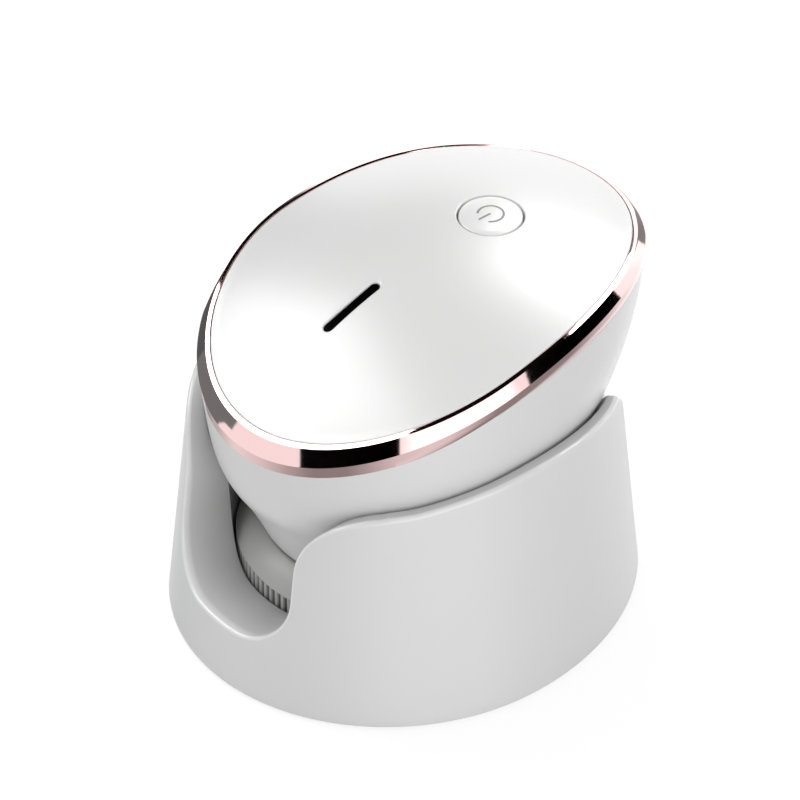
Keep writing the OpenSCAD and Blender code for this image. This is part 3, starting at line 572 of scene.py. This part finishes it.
def hoop_skin(name, rows):
    """Closed hoop: a grid of points that wraps both ways."""
    m, n = rows.shape[:2]
    faces = grid_faces(m + 1, n)[:, ::-1]
    return mesh_from(name, rows.reshape(-1, 3), (faces % (m * n)).tolist())


bezel = hoop_skin("bezel_band", bezel_rows())
bezel.data.set_sharp_from_angle(angle=math.radians(25))
# A sharp pink mirror, with the slight wave that plating has over moulded plastic
rose_chrome, tree, place_at, shader = material("rose-gold vacuum-metallised chrome")
ripple = noise(tree, place_at, 6, 1.0)
put(tree, shader, Base_Color=mixed(tree, ripple, srgb("#F8D6D5"), srgb("#FADAD9")), Metallic=1.0,
    Roughness=0.05, Normal=bumped(tree, ripple, 0.004))
wear(bezel, rose_chrome)
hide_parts("bezel_ring")
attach(bezel, "handheld")

# ---------------------------------------------------------------- cover
# The domed top is a high-gloss white moulding, sprayed with clear lacquer. The button's hole and
# the light slot are cut through it, with small rounded edges.

BUTTON_Y, BUTTON_HOLE = HAND_Y + 21.2, 6.02
SLOT_Y, SLOT_LEN, SLOT_W = HAND_Y - 9.6, 11.9, 1.95
SPLIT_Y, COVER_DEEP, COVER_SIDE, COVER_EDGE = HAND_Y + 4.5, 2.6, 1.9, 0.22
SLOT_ROUND, HOLE_ROUND = 0.34, 0.18


def cover_z(x, y):
    """Height of the cover over a point of the plan: the rim's, and a crown that falls to nothing
    at the rim."""
    reach = np.where(y < HAND_Y, RIM_FRONT, RIM_REAR)
    rise = 1 - (x / RIM_HALF) ** 2 - ((y - HAND_Y) / reach) ** 2
    return rim_z(x, y - HAND_Y) + CROWN * rise


def on_cover(plan, drop=0.0):
    """Plan points brought to the cover's height, less a drop."""
    return np.c_[plan, cover_z(*plan.T) - drop]


def plan_share(inner, outer, steps):
    """Rings of plan points from the inner outline to the outer one, at shares of the way."""
    return [inner + (outer - inner) * t for t in steps]


def slot_outline(outer):
    """The slot's outline from its middle, and the direction away from it: each point lies at the
    share of the outline's length that the outer point's angle is of a turn."""
    angle = np.unwrap(np.arctan2(outer[:, 1] - SLOT_Y, outer[:, 0]))
    half, r = SLOT_LEN / 2 - SLOT_W / 2, SLOT_W / 2
    turns = angle / (math.pi / 2)
    part = turns - np.floor(turns)
    quadrant = np.floor(turns).astype(int) % 4
    along = np.where(quadrant % 2 == 0, part, 1 - part) * (half + r * math.pi / 2)
    bend = np.maximum(along - half, 0) / r
    sign = np.stack([np.where((quadrant == 1) | (quadrant == 2), -1, 1),
                     np.where(quadrant >= 2, -1, 1)], -1)
    away = np.stack([np.cos(bend), np.sin(bend)], -1)
    base = away * r + np.stack([np.zeros_like(along), np.minimum(along, half)], -1)
    return base * sign, away * sign


def cover_mesh():
    """Two rings of surface, one round the slot and one round the button's hole, joined along a
    line across the cover, with rounded edges, the rim's side and an underside COVER_DEEP below."""
    across_n, front_n, rear_n = 120, 300, 420
    split = math.asin((SPLIT_Y - HAND_Y) / RIM_REAR)

    def outline(a, shrink):
        """The rim in plan, drawn in by shrink."""
        shrink = shrink + tuck(a)
        return np.stack([(RIM_HALF - shrink) * np.cos(a),
                         HAND_Y + (lobe(a, RIM_FRONT, RIM_REAR) - shrink) * np.sin(a)], -1)

    front_a = np.linspace(math.pi - split, 2 * math.pi + split, front_n + 1)
    rear_a = np.linspace(split, math.pi - split, rear_n + 1)
    front, rear = outline(front_a, COVER_EDGE), outline(rear_a, COVER_EDGE)
    line = np.linspace(front[-1], front[0], across_n + 1)
    slot_outer = np.concatenate([front[:-1], line[:-1]])
    hole_outer = np.concatenate([rear[:-1], line[::-1][:-1]])
    slot_base, slot_away = slot_outline(slot_outer)
    angle = np.arctan2(hole_outer[:, 1] - BUTTON_Y, hole_outer[:, 0])
    hole_away = np.stack([np.cos(angle), np.sin(angle)], -1)
    points, faces = [], []

    def strip(rings, flip=False):
        """Adds a strip of rings of points, as quads."""
        first = sum(len(p) for p in points)
        made = grid_faces(len(rings), len(rings[0]), first=first)
        faces.append(made[:, ::-1] if flip else made)
        points.append(np.concatenate(rings))

    spread = np.linspace(0, 1, 26) ** 1.6
    for middle, away, outer, rounding in (
            ([0.0, SLOT_Y] + slot_base, slot_away, slot_outer, SLOT_ROUND),
            ([0.0, BUTTON_Y] + hole_away * BUTTON_HOLE, hole_away, hole_outer, HOLE_ROUND)):
        rings = [on_cover(middle, COVER_DEEP)]
        rings += [on_cover(middle + away * rounding * (1 - math.cos(t)),
                           rounding * (1 - math.sin(t))) for t in QUARTER]
        rings += [on_cover(p) for p in plan_share(middle + away * rounding, outer, spread)[1:]]
        strip(rings)
        strip([on_cover(p, COVER_DEEP) for p in plan_share(middle, outer, np.linspace(0, 1, 8))],
              flip=True)
    all_a = np.concatenate([front_a[:-1], rear_a[:-1]])
    rings = [on_cover(outline(all_a, COVER_EDGE))]
    for t in QUARTER[1:]:
        rings.append(np.c_[outline(all_a, COVER_EDGE * (1 - math.sin(t))),
                           rings[0][:, 2] - COVER_EDGE * (1 - math.cos(t))])
    strip(rings + [on_cover(outline(all_a, 0.0), COVER_SIDE),
                   on_cover(outline(all_a, COVER_EDGE), COVER_DEEP)])
    cover = mesh_from("cover_moulding", np.concatenate(points), np.concatenate(faces).tolist())
    weld(cover)
    return cover


def weld(obj, within_mm=0.002):
    """Joins the points of obj that lie within a hair of each other, where strips meet."""
    work = bmesh.new()
    work.from_mesh(obj.data)
    bmesh.ops.remove_doubles(work, verts=work.verts, dist=within_mm * MM)
    work.to_mesh(obj.data)
    work.free()


cover = cover_mesh()
# Neutral white that glows softly, with the lacquer's broad sheen and no sharp image in it
wear(cover, mottled("gloss white ABS under clear lacquer", srgb("#F3F3F2"), srgb("#F6F6F6"), 40,
                    Roughness=0.3, Coat_Weight=1.0, Coat_Roughness=0.28))
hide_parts("top_cover")
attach(cover, "handheld")

# The light slot's window is tinted black polycarbonate, a hair below the cover.


def window_rows(n=96):
    """Rings of a bar with round ends that fills the slot: its side, then its top drawn in."""
    t = 2 * np.pi * (np.arange(n) + 0.5) / n
    rows = []
    for inset, drop in ((0.04, 2.5), (0.04, 0.34), (0.08, 0.3), (0.5, 0.3), (0.9, 0.3)):
        r = SLOT_W / 2 - inset
        x = r * np.cos(t)
        y = SLOT_Y + r * np.sin(t) + np.sign(np.sin(t)) * (SLOT_LEN - SLOT_W) / 2
        rows.append(np.stack([x, y, cover_z(x, y) - drop], -1))
    return rows


window = closed_skin("window_moulding", window_rows())
# Nearly black and without a glint, as it looks into the dark case
wear(window, mottled("black polycarbonate window", srgb("#010101"), srgb("#030303"), 2,
                     Roughness=0.3, Specular_IOR_Level=0.01))
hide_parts("light_window")
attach(window, "handheld")

# ---------------------------------------------------------------- power button
# A round cap of the same white, slightly domed, level with the cover at its edge. The power sign
# on it is engraved and filled with grey.

BUTTON_R, BUTTON_CAP, BUTTON_DOME = 5.8, 3.3, 0.45
CAP_R, CAP_ROUND, BEVEL_R = 5.66, 0.25, 4.85
BUTTON_TOP = float(cover_z(np.array(0.0), np.array(BUTTON_Y))) + 0.25


def button_profile():
    """Cap's section as (radius, height): underside, flange, side, rounded edge, a shallow bevel
    and the dome."""
    low = BUTTON_TOP - BUTTON_CAP
    bevel = BUTTON_TOP - BUTTON_DOME * (BEVEL_R / BUTTON_R) ** 2
    side = bevel - 0.3 * (CAP_R - CAP_ROUND - BEVEL_R)
    rows = [(1.0, low), (7.0, low), (7.0, low + 0.7), (CAP_R, low + 0.7),
            (CAP_R, side - CAP_ROUND)]
    rows += [(CAP_R - CAP_ROUND * (1 - math.cos(t)), side - CAP_ROUND * (1 - math.sin(t)))
             for t in np.radians([15, 30, 45, 60])]
    rows += [(CAP_R - CAP_ROUND, side), (BEVEL_R + 0.03, bevel - 0.01)]
    rows += [(r, BUTTON_TOP - BUTTON_DOME * (r / BUTTON_R) ** 2)
             for r in np.linspace(BEVEL_R - 0.03, 0.25, 16)]
    return rows


def about(y, rings):
    """Moves rings about the spindle to stand about a point of the middle line at y."""
    return [ring + [0.0, y - HEAD_Y, 0.0] for ring in rings]


button = closed_skin("button_cap", about(BUTTON_Y, turned(button_profile(), 160)))
# A touch whiter than the cover round it, as painted light that keeps the domed cap evenly bright,
# with the same sheen
wear(button, mottled("white ABS cap, brightened as painted light", srgb("#FBFBFA"), srgb("#FDFDFD"), 8,
                     Roughness=0.3, Coat_Weight=1.0, Coat_Roughness=0.28))
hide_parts("power_button")
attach(button, "power_button")


def ribbon(name, paths, width, thick):
    """Flat strips along plan paths, with rounded ends, that stand thick above the dome."""
    points, faces = [], []
    first = 0
    for path in paths:
        way = unit(np.gradient(path, axis=0))
        side = np.stack([-way[:, 1], way[:, 0]], -1)
        t = np.radians(np.linspace(90, -90, 9))[1:-1, None]
        head = path[0] + (side[0] * np.sin(t) - way[0] * np.cos(t)) * width / 2
        tail = path[-1] + (side[-1] * np.sin(t) + way[-1] * np.cos(t)) * width / 2
        side = side * width / 2
        loop = np.concatenate([path - side, tail[::-1], (path + side)[::-1], head])
        n, m, h = len(loop), len(path), len(tail)
        dome = on_button(*loop.T)
        points += [np.c_[loop, dome - 0.05], np.c_[loop, dome + thick]]
        i = np.arange(n)
        k = (i + 1) % n
        faces += (np.stack([i, k, k + n, i + n], -1) + first).tolist()
        # Quads between the two long sides, and a fan of each rounded end
        j = np.arange(m - 1)
        across = np.stack([j, j + 1, 2 * m + h - 2 - j, 2 * m + h - 1 - j], -1)
        faces += (across + first + n).tolist() + (across[:, ::-1] + first).tolist()
        for cap in (list(range(m - 1, m + h + 1)), list(range(2 * m + h - 1, n)) + [0]):
            faces += [[first + n + c for c in cap], [first + c for c in cap[::-1]]]
        first += 2 * n
    return mesh_from(name, np.concatenate(points), faces, smooth=False)


def on_button(x, y):
    """Height of the button's dome."""
    return BUTTON_TOP - BUTTON_DOME * (x**2 + (y - BUTTON_Y) ** 2) / BUTTON_R**2


SIGN_R, SIGN_GAP = 2.3, 46
turn_a = np.radians(np.linspace(-90 + SIGN_GAP, 270 - SIGN_GAP, 70))
sign_arc = np.stack([SIGN_R * np.cos(turn_a), BUTTON_Y + SIGN_R * np.sin(turn_a)], -1)
sign_bar = np.stack([np.zeros(12), BUTTON_Y - np.linspace(0.2, 2.5, 12)], -1)
sign = ribbon("button_sign", [sign_arc, sign_bar], 0.42, 0.008)
# Mid grey, matt beside the cap's sheen
wear(sign, mottled("grey enamel fill", srgb("#8E8E8E"), srgb("#9A9A9A"), 0.6, Roughness=0.45))
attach(sign, "power_button")

# ---------------------------------------------------------------- socket plug
# A soft white silicone plug fills the charging recess at the back, a little proud of it.


PLUG_W, PLUG_H, PLUG_R, PLUG_Z, PLUG_PROUD = 12.8, 6.8, 1.9, 59.2, 0.32


def plug_rows():
    """Rounded rectangle laid on the belly's back, grown from its middle outwards, and down into
    the recess at its edge."""
    n = 96
    t = full_turn(n)
    round_at = np.stack([np.cos(t), np.sin(t)], -1)
    corner = np.array([PLUG_W / 2 - PLUG_R, PLUG_H / 2 - PLUG_R])
    box = np.clip(round_at * 20, -corner, corner)
    s = np.linspace(0.3, 1, 400)
    spine = belly(np.full(400, np.pi / 2), s)

    def lay(points, proud):
        """Points of the plug's own plane laid on the belly's back, proud of it."""
        z = PLUG_Z + points[:, 1]
        y = np.interp(z, spine[:, 2], spine[:, 1])
        x = points[:, 0]
        sag = (y - HAND_Y) * (1 - np.sqrt(np.clip(1 - (x / 32.5) ** 2, 0, 1)))
        return np.stack([-x, y - sag + proud, z], -1)

    rows = [lay((box + PLUG_R * round_at) * share, PLUG_PROUD) for share in (0.15, 0.4, 0.7)]
    for out, up in ((-0.35, PLUG_PROUD), (-0.16, 0.28), (-0.05, 0.18), (0.0, 0.0), (0.0, -0.8)):
        rows.append(lay(box + (PLUG_R + out) * round_at, up))
    return rows[::-1]


plug = closed_skin("plug_moulding", plug_rows())
# Greyer and duller than the housing, as soft silicone is
wear(plug, mottled("soft white silicone", srgb("#DDDCDA"), srgb("#E2E1DF"), 0.5, 3.0,
                   Roughness=0.55))
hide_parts("port_plug")
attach(plug, "handheld")

# ---------------------------------------------------------------- brush head
# The carrier is a satin white polypropylene moulding with 112 grip ribs on its rim and a smooth
# shoulder up to the neck. Its tufts are fine translucent nylon.

HEAD_R, HEAD_LOW, BAND_Z, HEAD_TOP = 27.25, 9.9, 14.4, 18.5
RIBS, RIB_DEEP, RIB_POINTS = 112, 0.95, 14


def head_rows():
    """Rings of the carrier with RIB_POINTS to a rib, and how deep in a groove each point lies. The
    grooves' depth follows a rounded wave that fades out at both ends of the ribs."""
    n = RIBS * RIB_POINTS
    a = full_turn(n)
    phase = (np.arange(n) % RIB_POINTS) / RIB_POINTS
    groove = smooth_step(np.abs(phase - 0.22), 0.28, 0.15)
    rows, shade = [], []

    def ring(r, z, ribbed=0.0):
        """Adds a ring whose grooves have a share of their full depth."""
        rows.append(spindle_ring(r - RIB_DEEP * groove * ribbed, a, z))
        # Each point's groove depth also sets its painted shade
        shade.append(groove * ribbed)

    for r, z in ((4.0, 13.0), (25.5, 13.0), (25.65, 12.9), (25.65, HEAD_LOW + 0.2),
                 (25.8, HEAD_LOW)):
        ring(r, z)
    ring(HEAD_R - 0.3, HEAD_LOW, 0.3)
    ring(HEAD_R - 0.08, HEAD_LOW + 0.12, 1.0)
    for z in np.linspace(HEAD_LOW + 0.35, BAND_Z - 0.45, 6):
        ring(HEAD_R, z, 1.0)
    ring(HEAD_R, BAND_Z - 0.3, 0.9)
    ring(HEAD_R, BAND_Z - 0.18, 0.35)
    ring(HEAD_R, BAND_Z - 0.1, 0.0)
    ring(HEAD_R - 0.03, BAND_Z)
    for t in np.linspace(0.03, 0.96, 16):
        bow = 0.35 * math.sin(math.pi * t)
        ring(HEAD_R - 0.05 - (HEAD_R - NECK_R + 0.35) * t + bow,
             BAND_Z + (HEAD_TOP - BAND_Z) * t + bow)
    ring(NECK_R - 0.55, HEAD_TOP)
    ring(6.0, HEAD_TOP)
    return rows, np.concatenate(shade)


rows, shade = head_rows()
head = closed_skin("brush_moulding", rows)
head.data.attributes.new("inside", "FLOAT", "POINT").data.foreach_set("value", np.r_[shade, 0, 0])
# Painted shade: a shade greyer than the holder, where it sits in the holder's shade, and dark in
# the grooves, which are tagged inside
satin_pp = moulded("satin moulded polypropylene", "#D2D2D1", "#CCCCCB", 0.38, 0.3, 0.003,
                   inside="#3C3C3B")
wear(head, satin_pp)
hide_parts("brush_carrier")
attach(head, "brush_head")


TUFT_PITCH, TUFT_LEN, TUFT_ROOT = 1.25, 7.6, 11.75


def tuft_points(rng):
    """Strands in rings TUFT_PITCH apart: a four-sided taper for each, from the plate down, leaning
    a little at random."""
    roots = []
    for k in range(1, 20):
        r = TUFT_PITCH * k
        count = int(2 * math.pi * r / 1.05)
        t = 2 * math.pi * (np.arange(count) + 0.5 * (k % 2)) / count
        roots.append(np.stack([r * np.cos(t), r * np.sin(t)], -1))
    roots = np.concatenate(roots)
    roots = roots + rng.normal(0, 0.05, roots.shape)
    lean = rng.normal(0, 0.18, roots.shape)
    length = TUFT_LEN + rng.normal(0, 0.12, len(roots))
    corner = np.radians([0, 90, 180, 270])
    square = np.stack([np.cos(corner), np.sin(corner)], -1)
    rings = []
    for share, radius in ((0.0, 0.24), (0.55, 0.21), (0.9, 0.14), (1.0, 0.06)):
        plan = roots[:, None] + lean[:, None] * share**2 + square[None] * radius
        z = np.broadcast_to((TUFT_ROOT - length * share)[:, None, None], (len(roots), 4, 1))
        rings.append(np.concatenate([plan + [0.0, HEAD_Y], z], -1))
    return np.stack(rings, 1)


tufts = tuft_points(np.random.default_rng(4))
strand = np.concatenate([grid_faces(4, 4)[:, ::-1], [[15, 14, 13, 12], [0, 1, 2, 3]]])
strands = (strand[None] + 16 * np.arange(len(tufts))[:, None, None]).reshape(-1, 4)
bristles = mesh_from("brush_tufts", tufts.reshape(-1, 3), strands.tolist())
# Off-white strands that pass a little light, so that the tufts look soft
wear(bristles, mottled("translucent nylon filament", srgb("#EDECEA"), srgb("#F4F3F1"), 3,
                       Roughness=0.35, Subsurface_Weight=0.2,
                       Subsurface_Radius=(0.002, 0.002, 0.002), Subsurface_Scale=0.5))
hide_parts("bristles")
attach(bristles, "brush_head")
wear(node["tuft_plate"], satin_pp)

# ---------------------------------------------------------------- foot and inner pieces
# Underside and works keep the CAD's shapes, each in its own finish, which drifts between two near
# shades over a fine grain.

for name, colour, rough, metal, pieces in (
        ("grey thermoplastic rubber", "#8C8C8A", 0.7, 0.0, "foot_ring cover_gasket button_seal"),
        ("zinc-plated steel", "#B9BBBC", 0.3, 1.0, "base_screws pcb_screws charge_socket "
         "gearbox_plate gearbox_screws motor_screws"),
        ("ground steel", "#A8AAAC", 0.18, 1.0, "motor_can motor_shaft idler_pin drive_spindle "
         "spindle_clip"),
        ("sintered bronze", "#A9764A", 0.38, 1.0, "upper_bush lower_bush"),
        ("cut brass", "#C9A45C", 0.25, 1.0, "motor_pinion"),
        ("ivory acetal", "#EAE3D0", 0.42, 0.0, "idler_gear spindle_gear"),
        ("green solder mask", "#1F6B45", 0.3, 0.0, "circuit_board"),
        ("black glass-filled nylon", "#1B1B1C", 0.5, 0.0, "tact_switch motor_endcap shaft_seal"),
        ("clear epoxy lens", "#F2F2E6", 0.12, 0.0, "status_led"),
        ("blue heat-shrink wrap", "#3566A8", 0.35, 0.0, "battery_cell"),
        ("grey foam", "#7F8386", 0.9, 0.0, "battery_pad")):
    full = srgb(colour)
    dim = (*(c * 0.94 for c in full[:3]), 1.0)
    finish = mottled(name, dim, full, 0.6, Roughness=rough, Metallic=metal)
    for piece in pieces.split():
        wear(node[piece], finish)

# ---------------------------------------------------------------- floor and light
# Seamless white paper inside a photographer's tent. The tent's light is broad and soft. Its two
# bright boxes and the black cards between them show in the chrome as hard bars, and in the
# lacquer as a soft sheen.

floor = mesh_from("paper_floor", [[-4000, -4000, 0], [4000, -4000, 0], [4000, 4000, 0],
                                  [-4000, 4000, 0]], [[0, 1, 2, 3]], smooth=False)
made, tree, _, shader = material("white seamless paper")
put(tree, shader, Base_Color=srgb("#F4F4F4"), Roughness=0.9, Specular_IOR_Level=0.0)
seen = add(tree, "ShaderNodeLightPath").outputs["Is Camera Ray"]
paper = add(tree, "ShaderNodeMixShader", {"Fac": 0.6, 1: shader.outputs[0], 2: add(
    tree, "ShaderNodeEmission", {"Color": srgb("#FFFFFF"), "Strength": 1.26}).outputs[0]})
shown = add(tree, "ShaderNodeMixShader", {"Fac": seen, 1: shader.outputs[0], 2: paper.outputs[0]})
tree.links.new(shown.outputs[0], tree.nodes["Material Output"].inputs["Surface"])
wear(floor, made)
floor.visible_glossy = False

world = bpy.data.worlds.new("studio tent")
bpy.context.scene.world = world
world.use_nodes = True
tree = world.node_tree
tree.nodes.clear()


def calc(operation, *values, clamp=False):
    """Output of a Math node in the world's tree: the operation on numbers or sockets."""
    return add(tree, "ShaderNodeMath", dict(enumerate(values)), operation=operation,
               use_clamp=clamp).outputs[0]


def edge_of(*points):
    """Azimuth of a card's edge at the ray's height, as a share of 420 degrees from -180 up: a
    line through (azimuth, elevation) pairs in degrees, level beyond the ends."""
    curve = add(tree, "ShaderNodeFloatCurve", {"Value": height_share})
    line = curve.mapping.curves[0]
    spots = sorted((elevation, azimuth) for azimuth, elevation in points)
    spots = [(-90, spots[0][1])] + spots + [(90, spots[-1][1])]
    while len(line.points) < len(spots):
        line.points.new(0.5, 0.5)
    for point, (elevation, azimuth) in zip(line.points, spots):
        point.location = ((elevation + 90) / 180, (azimuth + 180) / 420)
        point.handle_type = "VECTOR"
    curve.mapping.update()
    return curve.outputs[0]


def past(value, mark, soft):
    """0 below the mark and 1 above it, over an edge of the given softness."""
    return calc("MULTIPLY_ADD", calc("SUBTRACT", value, mark), 1 / soft, 0.5, clamp=True)


def within(low_azimuth, high_azimuth, low_elevation, high_elevation):
    """1 inside a window of the tent and 0 outside it: the least of its distances to its four
    sides in degrees, turned to a share over a soft edge."""
    sides = calc("MINIMUM", calc("SUBTRACT", turn, low_azimuth),
                 calc("SUBTRACT", high_azimuth, turn))
    ends = calc("MINIMUM", calc("SUBTRACT", rise, low_elevation),
                calc("SUBTRACT", high_elevation, rise))
    return calc("MULTIPLY_ADD", calc("MINIMUM", sides, ends), 1.6, 0.5, clamp=True)


def over(below, share, level):
    """Light of a card or window laid over the light behind it."""
    return calc("MULTIPLY_ADD", calc("SUBTRACT", level, below), share, below)


ray = add(tree, "ShaderNodeTexCoord").outputs["Generated"]
axes = add(tree, "ShaderNodeSeparateXYZ", {0: ray})
rise = calc("DEGREES", calc("ARCSINE", axes.outputs[2]))
height_share = calc("MULTIPLY_ADD", rise, 1 / 180, 0.5)
turn = calc("DEGREES", calc("ARCTAN2", axes.outputs[0], calc("MULTIPLY", axes.outputs[1], -1.0)))
# Share of 420 degrees, run on past the back so that its seam lies at -141 where nothing shows
onward = calc("MULTIPLY_ADD", calc("LESS_THAN", turn, -141.0), 360 / 420,
              calc("MULTIPLY_ADD", turn, 1 / 420, 180 / 420))

# Cards and lit paper round the tent, from the left side round the front to the back
tent = 1.6
warm_edge = edge_of((35, 30.3), (37.4, 24), (39.7, 17.6))
fading = calc("MULTIPLY_ADD", calc("MAXIMUM", calc("SUBTRACT", onward, 380 / 420), 0.0), 5.0,
              0.27)
for level, edge, soft in (
        (0.11, edge_of((-109, -15), (-106.5, -21.7), (-103, -24), (-97, -26), (-92, -29)), 4.0),
        (0.2, edge_of((-77.5, -10.7), (-79.3, -14), (-81.3, -17.6)), 0.8),
        (1.0, edge_of((-40.5, 1.7), (-41.9, -3.7), (-44.3, -4.3), (-47.1, -5.1), (-50.7, -8.8)),
         1.0),
        (0.0, edge_of((-8.5, 12.9), (-6.4, 9), (-4.4, 4.8)), 0.8), (1.1, warm_edge, 0.8),
        (1.6, calc("ADD", warm_edge, 5 / 420), 8.0), (1.05, 284 / 420, 5.0),
        (0.0, edge_of((113.4, 47.5), (111, 39), (110.1, 30.1)), 0.8),
        (1.2, edge_of((170.1, 32.5), (165.1, 26.2), (161.8, 19)), 0.8), (1.4, 361 / 420, 8.0),
        (fading, edge_of((195.8, 14.6), (192.8, 9.7), (191.5, 4.1), (194.6, 2), (196.5, 0.3),
                         (201.5, -1.8), (206, -3.5), (210, -4.4), (214, -5.4), (225, -11)), 1.5),
        (1.6, 397 / 420, 4.0)):
    tent = over(tent, past(onward, edge, soft / 420), level)
# High on the left and behind: a lit panel, a black card over it, and bright boxes beside it
slant = calc("MAXIMUM", 28.0, calc("MULTIPLY_ADD", turn, 0.615, 57.0))
for level, share in ((1.6, within(-152, -120, 4, 35)), (0.0, within(-133, -81.5, 29.7, 91)),
                     (5.3, within(-81.5, -34, slant, 66)), (7.0, within(-190, -133, 33, 60)),
                     (7.0, within(-140, -127, 47, 60))):
    tent = over(tent, share, level)
# A round black card overhead
card = calc("GREATER_THAN", add(tree, "ShaderNodeVectorMath", {
    0: ray, 1: (-0.306, 0.063, 0.95)}, operation="DOT_PRODUCT").outputs["Value"],
    math.cos(math.radians(18.95)))
tent = over(tent, card, 0.0)
# Paper below, which dims and brightens softly round the object: (azimuth, level) pairs
shades = [(-180, 0.66), (-172, 0.82), (-163, 0.97), (-147, 1.1), (-117, 1.3), (-114, 0.31),
          (-99, 0.36), (-92, 0.5), (-85, 0.53), (-72, 0.73), (-62, 0.84), (-43, 0.75), (-36, 0.71),
          (-21, 0.55), (-14, 0.45), (-7, 0.4), (1, 0.31), (8, 0.27), (31, 0.28), (44, 0.42),
          (64, 0.68), (84, 0.8), (98, 0.74), (112, 0.57), (131, 0.28), (162, 0.27), (170, 0.44),
          (180, 0.66)]
paper_below = add(tree, "ShaderNodeValToRGB", {"Fac": calc("MULTIPLY_ADD", turn, 1 / 360, 0.5)})
ramp = paper_below.color_ramp
while len(ramp.elements) < len(shades):
    ramp.elements.new(0.5)
for element, (azimuth, level) in zip(ramp.elements, shades):
    element.position = (azimuth + 180) / 360
    element.color = (level, level, level, 1)
below = past(calc("MULTIPLY", rise, -1.0), 38.0, 1.0)
# The darkest cards are a cool grey, and the paper is neutral
cool = mixed(tree, calc("MAXIMUM", below, calc("MULTIPLY_ADD", tent, 2.0, -0.6, clamp=True)),
             (0.85, 1.04, 1.04, 1), (1, 1, 1, 1))
tent = over(tent, below, paper_below.outputs[0])

# The same tent as broad light: smooth lobes from a few sides
broad = 0.0
for azimuth, elevation, level in (
        (0, 8, 1.1), (-45, 8, 0.22), (90, 8, 2.02), (90, 38, 1.09), (-135, 38, 0.304),
        (-90, 38, 1.587), (180, 65, 0.56), (-90, 65, 1.166)):
    a, e = math.radians(azimuth), math.radians(elevation)
    towards = (math.sin(a) * math.cos(e), -math.cos(a) * math.cos(e), math.sin(e))
    aimed = add(tree, "ShaderNodeVectorMath", {0: ray, 1: towards}, operation="DOT_PRODUCT")
    lobe_8 = calc("POWER", calc("MAXIMUM", 0.0, aimed.outputs["Value"]), 8.0)
    broad = calc("MULTIPLY_ADD", lobe_8, level, broad)


def glow(strength, colour=(1, 1, 1, 1)):
    """Background light of one strength and colour."""
    return add(tree, "ShaderNodeBackground", {"Color": colour, "Strength": strength}).outputs[0]


path = add(tree, "ShaderNodeLightPath")
lit = add(tree, "ShaderNodeMixShader", {"Fac": path.outputs["Is Glossy Ray"], 1: glow(broad),
                                        2: glow(tent, cool)})
lit = add(tree, "ShaderNodeMixShader", {"Fac": path.outputs["Is Camera Ray"], 1: lit.outputs[0],
                                        2: glow(1.0)})
add(tree, "ShaderNodeOutputWorld", {"Surface": lit.outputs[0]})
bpy.context.scene.view_settings.view_transform = "Standard"
